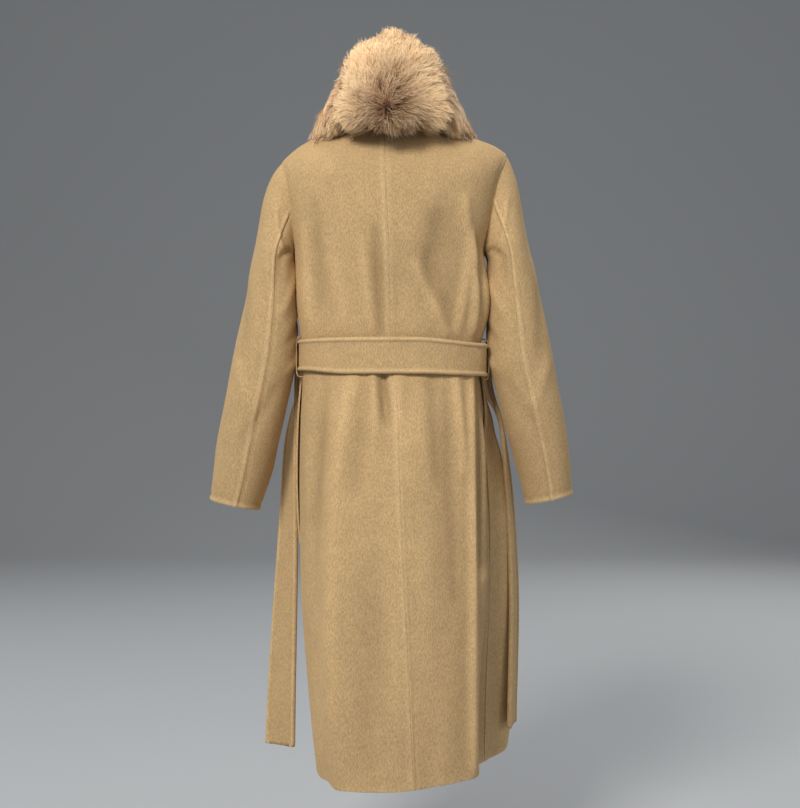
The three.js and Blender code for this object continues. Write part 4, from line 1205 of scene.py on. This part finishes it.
def build_fur(name, low, high, sizes, material, seed):
    """A part of the collar's fur. A hair is a narrow tapering ribbon whose root rises from the skin
    and whose tip bends down to the way it is combed, and the hairs of a tuft draw together at their
    tips. Round the whorl at the nape they stand up and lie loosely, on the crown they stand and are
    short, and a furrow parts the middle from the wings."""
    rng = np.random.default_rng(seed)
    depth = sizes.depth / MM
    count = sizes.hairs if "back" in name else sizes.front_hairs
    u, a, tuft = scatter_hairs(low, high, count, depth, sizes, rng)
    root = collar_skin_point(u, a, depth)
    normal, _, _ = collar_normal(u, a, depth)
    lie, near, back = comb(root, normal, sizes)
    loose = 1 + WHORL_LOOSE["turn"] * swelling(near, WHORL_LOOSE["half"]) * back
    of_tuft = rng.normal(0, HAIR_TURN["tuft"], sizes.tufts)[tuft]
    turned = (of_tuft + rng.normal(0, HAIR_TURN["hair"], tuft.size)) * loose
    lie = unit(lie + np.cross(normal, lie) * turned[:, None])
    length = hair_lengths(root, u, tuft, back, sizes, rng)
    stand = np.radians(sizes.stand) * rng.normal(1, HAIR_TURN["stand"], tuft.size)
    stand = stand + CROWN["stand"] * crown_at(root) * back
    upright = WHORL_STAND["mean"] + WHORL_STAND["spread"] * rng.normal(0, 1, sizes.tufts)[tuft]
    stand = stand + upright * smooth(1 - near / WHORL_STAND["half"]) * back
    line = hair_lines(root, normal, lie, length, stand, tuft, count, sizes, rng)

    _, buried = outside_body(root, HAIR_CLEAR["root"])
    keep = ~buried
    line = [part[keep] for part in line]
    normal, lie, tuft, back = normal[keep], lie[keep], tuft[keep], back[keep]
    total = keep.sum()
    flat = unit(np.cross(lie, normal) + normal * rng.normal(0, HAIR_TURN["flat"], total)[:, None])
    width = sizes.hair_width / MM * rng.uniform(0.7, 1.25, total)
    points, faces = hair_ribbons(line, flat, width)
    tone = rng.normal(0, 1, sizes.tufts)[tuft] * HAIR_TONE["tuft"]
    tone = tone + rng.normal(0, 1, total) * HAIR_TONE["hair"]
    # Dark roots at the whorl, and painted shade in the notches and the furrows
    dark = dark_roots_and_painted_shade(line[0], furrow_at(line[0]), back, sizes)
    pale = np.maximum(CROWN["pale"] * crown_at(line[0]), FRONTS["pale"] * (1 - back))
    shares = (0, 0, *np.repeat([share for share, _, _ in HAIR_LINE[:2]], 2), 1)
    tip = np.maximum(np.repeat(shares, total), np.tile(pale, len(shares)))
    values = {"tip": tip, "shade": np.tile(tone, len(shares)), "whorl": np.tile(dark, len(shares))}
    obj = make_mesh(name, points, faces, values)
    direction = unit(line[3] - line[1])
    lit = normal - direction * (normal * direction).sum(1, keepdims=True)
    lit = lit + direction * HAIR_NORMAL["along"] + normal * HAIR_NORMAL["out"]
    lit = unit(lit + np.array(HAIR_NORMAL["lean"]))
    obj.data.normals_split_custom_set_from_vertices(np.tile(lit, (len(shares), 1)))
    settle(obj, material, "fur")
    return obj


def new_node(tree, kind, x, y, **settings):
    """A node at a place, with its settings."""
    made = tree.nodes.new(kind)
    made.location = (x, y)
    for key, value in settings.items():
        setattr(made, key, value)
    return made


def new_group(name, inputs, outputs):
    """An empty shader group with its sockets, and its input and output nodes."""
    tree = bpy.data.node_groups.new(name, "ShaderNodeTree")
    for label, kind in inputs:
        tree.interface.new_socket(name=label, in_out="INPUT", socket_type="NodeSocket" + kind)
    for label, kind in outputs:
        tree.interface.new_socket(name=label, in_out="OUTPUT", socket_type="NodeSocket" + kind)
    return tree, new_node(tree, "NodeGroupInput", -900, 0), new_node(tree, "NodeGroupOutput", 700, 0)


def mix_colour(tree, x, y, factor, first, second, blend="MIX"):
    """Mixes two colours, each a socket or a value, and returns the outgoing socket."""
    made = new_node(tree, "ShaderNodeMix", x, y, data_type="RGBA", blend_type=blend)
    sockets = (made.inputs["Factor"], made.inputs[6], made.inputs[7])
    for socket, value in zip(sockets, (factor, first, second)):
        if isinstance(value, bpy.types.NodeSocket):
            tree.links.new(value, socket)
        else:
            socket.default_value = value
    return made.outputs[2]


def scaled(tree, x, y, value, low, high, to_low, to_high):
    """Brings a value from one range to another, held at its ends."""
    made = new_node(tree, "ShaderNodeMapRange", x, y)
    made.interpolation_type = "SMOOTHSTEP"
    tree.links.new(value, made.inputs["Value"])
    for socket, number in zip(made.inputs[1:5], (low, high, to_low, to_high)):
        socket.default_value = number
    return made.outputs["Result"]


def nap_group():
    """Shader group of the wool: slow mottling of its colour, a painted highlight along its rolled edges and
    seam strips, painted shade in its valleys and grooves with painted light on its raised places, and the
    height of its nap."""
    tree, start, end = new_group(
        "Wool Nap And Painted Shade",
        (("Cloth", "Color"), ("Edge", "Color"), ("Roll", "Float"), ("Lift", "Float"), ("Place", "Vector")),
        (("Color", "Color"), ("Height", "Float")),
    )
    stretch = new_node(tree, "ShaderNodeMapping", -700, -200)
    stretch.inputs["Scale"].default_value = (1, 1, 0.4)
    tree.links.new(start.outputs["Place"], stretch.inputs["Vector"])
    fibre = new_node(tree, "ShaderNodeTexNoise", -500, -200)
    fibre.inputs["Scale"].default_value = 560
    fibre.inputs["Detail"].default_value = 3
    tree.links.new(stretch.outputs["Vector"], fibre.inputs["Vector"])
    cloud = new_node(tree, "ShaderNodeTexNoise", -500, 100)
    cloud.inputs["Scale"].default_value = 34
    cloud.inputs["Detail"].default_value = 4
    tree.links.new(start.outputs["Place"], cloud.inputs["Vector"])
    slow = scaled(tree, -300, 100, cloud.outputs["Fac"], 0.3, 0.7, 0.965, 1.03)
    fine = scaled(tree, -300, -200, fibre.outputs["Fac"], 0.3, 0.7, 0.8, 1.13)
    # Painted shade and light: the colour darkens where the cloth lies low, in creases, grooves and the lap
    # step, and lightens where it stands high
    painted_relief_shade = scaled(tree, -300, 300, start.outputs["Lift"], -9, 6, 0.74, 1.1)
    both = new_node(tree, "ShaderNodeMath", -120, 0, operation="MULTIPLY")
    tree.links.new(slow, both.inputs[0])
    tree.links.new(fine, both.inputs[1])
    shade = new_node(tree, "ShaderNodeMath", 40, 100, operation="MULTIPLY")
    tree.links.new(both.outputs[0], shade.inputs[0])
    tree.links.new(painted_relief_shade, shade.inputs[1])
    # Painted highlight: rolled edges, seam strips, the belt's rolls and its loops are mixed towards the
    # paler edge colour
    cloth = mix_colour(tree, 0, 300, start.outputs["Roll"], start.outputs["Cloth"], start.outputs["Edge"])
    grey = new_node(tree, "ShaderNodeCombineColor", 200, 0)
    for socket in grey.inputs[:3]:
        tree.links.new(shade.outputs[0], socket)
    tree.links.new(mix_colour(tree, 400, 200, 1.0, cloth, grey.outputs[0], "MULTIPLY"), end.inputs["Color"])
    tree.links.new(fibre.outputs["Fac"], end.inputs["Height"])
    return tree


def hair_group():
    """Shader group of the fur's colour: dark root, warm middle, pale tip, darker in the whorl, with painted
    shade in the notches and the furrows.
    """
    colours = (("Root", "Color"), ("Middle", "Color"), ("Tip", "Color"))
    values = (("Along", "Float"), ("Shade", "Float"), ("Whorl", "Float"))
    tree, start, end = new_group("Fur Colour", colours + values, (("Color", "Color"),))
    low = scaled(tree, -600, 200, start.outputs["Along"], 0.0, 0.45, 0.0, 1.0)
    high = scaled(tree, -600, -100, start.outputs["Along"], 0.38, 0.92, 0.0, 1.0)
    first = mix_colour(tree, -350, 150, low, start.outputs["Root"], start.outputs["Middle"])
    second = mix_colour(tree, -150, 100, high, first, start.outputs["Tip"])
    dark = scaled(tree, -350, -200, start.outputs["Whorl"], 0.0, 1.0, 0.0, 1.0)
    lower = scaled(tree, -350, -400, start.outputs["Along"], 0.45, 1.0, 0.95, 0.42)
    both = new_node(tree, "ShaderNodeMath", -150, -150, operation="MULTIPLY")
    tree.links.new(dark, both.inputs[0])
    tree.links.new(lower, both.inputs[1])
    third = mix_colour(tree, 60, 60, both.outputs[0], second, start.outputs["Root"])
    tone = scaled(tree, -150, -300, start.outputs["Shade"], -2.0, 2.0, 0.8, 1.2)
    grey = new_node(tree, "ShaderNodeCombineColor", 100, -250)
    for socket in grey.inputs[:3]:
        tree.links.new(tone, socket)
    tree.links.new(mix_colour(tree, 400, 0, 1.0, third, grey.outputs[0], "MULTIPLY"), end.inputs["Color"])
    return tree


def new_material(name):
    """A material with its node tree and its Principled shader."""
    material = bpy.data.materials.new(name)
    material.use_nodes = True
    return material, material.node_tree, material.node_tree.nodes["Principled BSDF"]


def attribute(tree, name, y):
    """Reads one of the values kept with a mesh's points."""
    return new_node(tree, "ShaderNodeAttribute", -700, y, attribute_name=name).outputs["Fac"]


def add_group(tree, name, values):
    """A node of a shader group with its inputs joined or set."""
    made = new_node(tree, "ShaderNodeGroup", -350, 0, node_tree=bpy.data.node_groups[name])
    for label, value in values.items():
        if isinstance(value, bpy.types.NodeSocket):
            tree.links.new(value, made.inputs[label])
        else:
            made.inputs[label].default_value = value
    return made


def opaque(colour):
    """A colour with its alpha."""
    return (*colour, 1.0)


def wool_material():
    """Soft milled wool."""
    if "coat_wool" in bpy.data.materials:
        return bpy.data.materials["coat_wool"]
    colours, cloth = bpy.context.scene.coat_colours, bpy.context.scene.coat_cloth
    material, tree, shader = new_material("coat_wool")
    place = new_node(tree, "ShaderNodeTexCoord", -700, -300).outputs["Object"]
    nap_group()
    nap = add_group(tree, "Wool Nap And Painted Shade", {
        "Cloth": opaque(colours.cloth),
        "Edge": opaque(colours.painted_edge_highlight),
        "Roll": attribute(tree, "roll", 200),
        "Lift": attribute(tree, "lift", 0),
        "Place": place,
    })
    bump = new_node(tree, "ShaderNodeBump", -150, -200)
    bump.inputs["Strength"].default_value = cloth.nap
    bump.inputs["Distance"].default_value = 0.0011
    tree.links.new(nap.outputs["Height"], bump.inputs["Height"])
    tree.links.new(nap.outputs["Color"], shader.inputs["Base Color"])
    tree.links.new(bump.outputs["Normal"], shader.inputs["Normal"])
    shader.inputs["Roughness"].default_value = 0.92
    shader.inputs["Specular IOR Level"].default_value = 0.18
    shader.inputs["Sheen Weight"].default_value = 0.32
    shader.inputs["Sheen Roughness"].default_value = 0.55
    shader.inputs["Sheen Tint"].default_value = opaque(colours.painted_edge_highlight)
    return material


def fur_material(name):
    """Long fur, or the skin that it grows from."""
    if name in bpy.data.materials:
        return bpy.data.materials[name]
    colours = bpy.context.scene.coat_colours
    material, tree, shader = new_material(name)
    if "Fur Colour" not in bpy.data.node_groups:
        hair_group()
    hair = add_group(tree, "Fur Colour", {
        "Root": opaque(colours.fur_root),
        "Middle": opaque(colours.fur_middle),
        "Tip": opaque(colours.fur_tip),
        "Along": attribute(tree, "tip", 200),
        "Shade": attribute(tree, "shade", 0),
        "Whorl": attribute(tree, "whorl", -200),
    })
    tree.links.new(hair.outputs["Color"], shader.inputs["Base Color"])
    shader.inputs["Roughness"].default_value = 0.7
    shader.inputs["Specular IOR Level"].default_value = 0.25
    shader.inputs["Sheen Weight"].default_value = 0.15
    return material


class CoatClothSizes(bpy.types.PropertyGroup):
    """Sizes of the cloth and its sewing."""

    wall: bpy.props.FloatProperty(
        name="Wall", description="Thickness of the cloth", default=0.003, unit="LENGTH"
    )
    rolled_wall: bpy.props.FloatProperty(
        name="Rolled wall", description="Thickness along the rolled edges", default=0.0046, unit="LENGTH"
    )
    seam_width: bpy.props.FloatProperty(
        name="Seam width", description="Width of the strip along a seam", default=0.009, unit="LENGTH"
    )
    seam_height: bpy.props.FloatProperty(
        name="Seam height", description="Height of the strip along a seam", default=0.0014, unit="LENGTH"
    )
    roll_width: bpy.props.FloatProperty(
        name="Roll width", description="Width of the rolled edges", default=0.008, unit="LENGTH"
    )
    roll_height: bpy.props.FloatProperty(
        name="Roll height", description="How far the rolled edges stand up", default=0.0016, unit="LENGTH"
    )
    groove: bpy.props.FloatProperty(
        name="Groove", description="Depth of the groove beside a seam", default=0.0012, unit="LENGTH"
    )
    crease: bpy.props.FloatProperty(
        name="Creases", description="Strength of the placed creases", default=1.7, min=0, max=3
    )
    nap: bpy.props.FloatProperty(
        name="Nap", description="Strength of the nap", default=0.5, subtype="FACTOR"
    )


class CoatFurSizes(bpy.types.PropertyGroup):
    """Sizes of the collar's fur."""

    depth: bpy.props.FloatProperty(
        name="Depth", description="From the skin to the fur's outline", default=0.024, unit="LENGTH"
    )
    length: bpy.props.FloatProperty(
        name="Hair length", description="Length of a hair", default=0.035, unit="LENGTH"
    )
    hair_width: bpy.props.FloatProperty(
        name="Hair width", description="Width of a hair at its root", default=0.00066, unit="LENGTH"
    )
    stand: bpy.props.FloatProperty(
        name="Stand", description="Degrees between a hair and the skin", default=36.0, min=0, max=90
    )
    gather: bpy.props.FloatProperty(
        name="Gather", description="How far a tuft draws together", default=0.84, subtype="FACTOR"
    )
    tuft_radius: bpy.props.FloatProperty(
        name="Tuft radius", description="Spread of the roots of a tuft", default=0.0042, unit="LENGTH"
    )
    tufts: bpy.props.IntProperty(name="Tufts", description="Tufts in each part of the fur", default=1050)
    hairs: bpy.props.IntProperty(name="Hairs", description="Hairs in a tuft behind", default=32)
    front_hairs: bpy.props.IntProperty(
        name="Front hairs", description="Hairs in a tuft in front", default=24
    )
    whorl: bpy.props.FloatVectorProperty(
        name="Whorl",
        description="Place that the fur at the nape parts from",
        default=(0.002, 0.14, -0.001),
        unit="LENGTH",
    )
    whorl_radius: bpy.props.FloatProperty(
        name="Whorl radius", description="Size of the dark whorl", default=0.042, unit="LENGTH"
    )


class CoatColours(bpy.types.PropertyGroup):
    """Colours of the coat and of the stage."""

    cloth: bpy.props.FloatVectorProperty(
        name="Cloth", description="Camel wool", default=(0.475, 0.32, 0.158), subtype="COLOR"
    )
    # Paler colour of rolled edges and seam strips, a painted highlight; it also tints the sheen
    painted_edge_highlight: bpy.props.FloatVectorProperty(
        name="Cloth edge", description="Rolled edges and seams", default=(0.57, 0.4, 0.21), subtype="COLOR"
    )
    fur_root: bpy.props.FloatVectorProperty(
        name="Fur root", description="Hair at its root", default=(0.17, 0.075, 0.032), subtype="COLOR"
    )
    fur_middle: bpy.props.FloatVectorProperty(
        name="Fur middle", description="Hair at its middle", default=(0.66, 0.38, 0.18), subtype="COLOR"
    )
    fur_tip: bpy.props.FloatVectorProperty(
        name="Fur tip", description="Hair at its tip", default=(0.98, 0.73, 0.43), subtype="COLOR"
    )
    floor: bpy.props.FloatVectorProperty(
        name="Floor", description="Plain floor and backdrop", default=(0.44, 0.46, 0.48), subtype="COLOR"
    )


class CoatOperator(bpy.types.Operator):
    """Common part of the coat's operators."""

    bl_options = {"REGISTER", "UNDO"}


class COAT_OT_body(CoatOperator):
    """Builds the two backs and the two fronts with their seam, rolled hem, front edges and creases."""

    bl_idname = "coat.body"
    bl_label = "Backs and fronts"

    def execute(self, context):
        cloth = context.scene.coat_cloth
        for side, name in ((1, "left"), (-1, "right")):
            build_panel(f"coat_back_{name}", side, 1, cloth, wool_material())
            build_panel(f"coat_front_{name}", side, -1, cloth, wool_material())
        return {"FINISHED"}


class COAT_OT_sleeves(CoatOperator):
    """Builds the two-piece sleeves."""

    bl_idname = "coat.sleeves"
    bl_label = "Sleeves"

    def execute(self, context):
        for name in ("left", "right"):
            for part in ("upper", "under"):
                build_sleeve(name, part, context.scene.coat_cloth, wool_material())
        return {"FINISHED"}


class COAT_OT_belt(CoatOperator):
    """Builds the belt round the back and the loops that carry it at the sides."""

    bl_idname = "coat.belt"
    bl_label = "Belt and loops"

    def execute(self, context):
        build_belt_waist(wool_material())
        for name in ("left", "right"):
            build_loop(name, wool_material())
        return {"FINISHED"}


class COAT_OT_tails(CoatOperator):
    """Builds the two hanging ends of the belt."""

    bl_idname = "coat.tails"
    bl_label = "Belt ends"

    def execute(self, context):
        for name in ("left", "right"):
            build_belt_tail(name, wool_material())
        return {"FINISHED"}


class COAT_OT_collar(CoatOperator):
    """Builds the skin of the collar."""

    bl_idname = "coat.collar"
    bl_label = "Collar skin"

    def execute(self, context):
        build_collar_skin(context.scene.coat_fur, fur_material("coat_fur_skin"))
        return {"FINISHED"}


class COAT_OT_fur(CoatOperator):
    """Builds the fur of the collar in four parts."""

    bl_idname = "coat.fur"
    bl_label = "Collar fur"

    def execute(self, context):
        parts = (
            ("back_left", 0, 0.38),
            ("back_right", -0.38, 0),
            ("front_left", 0.38, 1),
            ("front_right", -1, -0.38),
        )
        for seed, (name, low, high) in enumerate(parts):
            build_fur(f"fur_{name}", low, high, context.scene.coat_fur, fur_material("coat_fur"), seed + 11)
        return {"FINISHED"}


def add_light(name, place, size, power_watts, colour):
    """A square area light that points at the middle of the coat."""
    light = bpy.data.lights.new(name, "AREA")
    light.size = size
    light.energy = power_watts
    light.color = colour
    obj = bpy.data.objects.new(name, light)
    bpy.context.scene.collection.objects.link(obj)
    obj.location = place
    away = unit(np.array(place, float) - np.array(LIGHT_TARGET, float))
    obj.rotation_euler = (np.arccos(away[2]), 0, np.arctan2(away[1], away[0]) + np.pi / 2)


def build_floor(material):
    """The floor: it runs flat past the coat, then bends up by a quarter of a circle into a plain
    backdrop."""
    turn = np.linspace(0, np.pi / 2, 24)
    far, bend = FLOOR["far"], FLOOR["bend"]
    away = np.concatenate([[FLOOR["near"]], far - bend * np.sin(turn), [far - bend]])
    rise = np.concatenate([[0], bend * (1 - np.cos(turn)), [FLOOR["top"]]]) + FLOOR["z"]
    across = np.array([-FLOOR["half"], FLOOR["half"]])
    points = np.stack(np.broadcast_arrays(across, away[:, None], rise[:, None]), -1).reshape(-1, 3)
    floor = make_mesh("stage_floor", points, grid_faces(np.arange(len(points)).reshape(-1, 2)))
    floor.data.materials.append(material)


def add_camera():
    """The camera: level behind the coat, its lens worked out from how large the coat is to look."""
    camera = bpy.data.cameras.new("camera")
    camera.sensor_width = CAMERA["sensor"]
    camera.lens = CAMERA["sensor"] * CAMERA["y"] / (CAMERA["height_pixels"] * CAMERA["mm_per_pixel"])
    camera.dof.use_dof = False
    obj = bpy.data.objects.new("camera", camera)
    obj.location = (CAMERA["x"] * MM, CAMERA["y"] * MM, CAMERA["z"] * MM)
    obj.rotation_euler = (np.pi / 2, 0, np.pi)
    return obj


class COAT_OT_stage(CoatOperator):
    """Adds the floor with its backdrop, the soft light and the camera behind the coat."""

    bl_idname = "coat.stage"
    bl_label = "Floor, light and camera"

    def execute(self, context):
        scene = context.scene
        material, _, shader = new_material("stage_floor")
        shader.inputs["Base Color"].default_value = opaque(scene.coat_colours.floor)
        shader.inputs["Roughness"].default_value = 0.9
        build_floor(material)
        scene.world = bpy.data.worlds.new("stage_world")
        scene.world.use_nodes = True
        background = scene.world.node_tree.nodes["Background"]
        background.inputs["Color"].default_value = ROOM_LIGHT["colour"]
        background.inputs["Strength"].default_value = ROOM_LIGHT["strength"]
        for name, light in LIGHTS.items():
            add_light(name, *light)
        scene.camera = add_camera()
        scene.collection.objects.link(scene.camera)
        scene.view_settings.view_transform = "Standard"
        return {"FINISHED"}


class COAT_PT_panel(bpy.types.Panel):
    """Sidebar panel of the coat."""

    bl_idname = "COAT_PT_panel"
    bl_label = "Belted wool coat"
    bl_space_type = "VIEW_3D"
    bl_region_type = "UI"
    bl_category = "Coat"

    def draw(self, context):
        for operator in OPERATORS:
            self.layout.operator(operator.bl_idname)
        for group in (context.scene.coat_cloth, context.scene.coat_fur, context.scene.coat_colours):
            box = self.layout.box()
            for name in group.__annotations__:
                box.prop(group, name)


OPERATORS = (
    COAT_OT_body,
    COAT_OT_sleeves,
    COAT_OT_belt,
    COAT_OT_tails,
    COAT_OT_collar,
    COAT_OT_fur,
    COAT_OT_stage,
)
GROUPS = {"coat_cloth": CoatClothSizes, "coat_fur": CoatFurSizes, "coat_colours": CoatColours}


def register():
    """Adds the coat's sizes, operators and panel."""
    for cls in (*GROUPS.values(), *OPERATORS, COAT_PT_panel):
        bpy.utils.register_class(cls)
    for name, cls in GROUPS.items():
        setattr(bpy.types.Scene, name, bpy.props.PointerProperty(type=cls))


def unregister():
    """Takes them away again."""
    for name in GROUPS:
        delattr(bpy.types.Scene, name)
    for cls in (COAT_PT_panel, *reversed(OPERATORS), *reversed(list(GROUPS.values()))):
        bpy.utils.unregister_class(cls)


def main():
    """Builds the whole coat."""
    register()
    bpy.ops.coat.body()
    bpy.ops.coat.sleeves()
    bpy.ops.coat.belt()
    bpy.ops.coat.tails()
    bpy.ops.coat.collar()
    bpy.ops.coat.fur()
    bpy.ops.coat.stage()


if __name__ == "__main__":
    main()
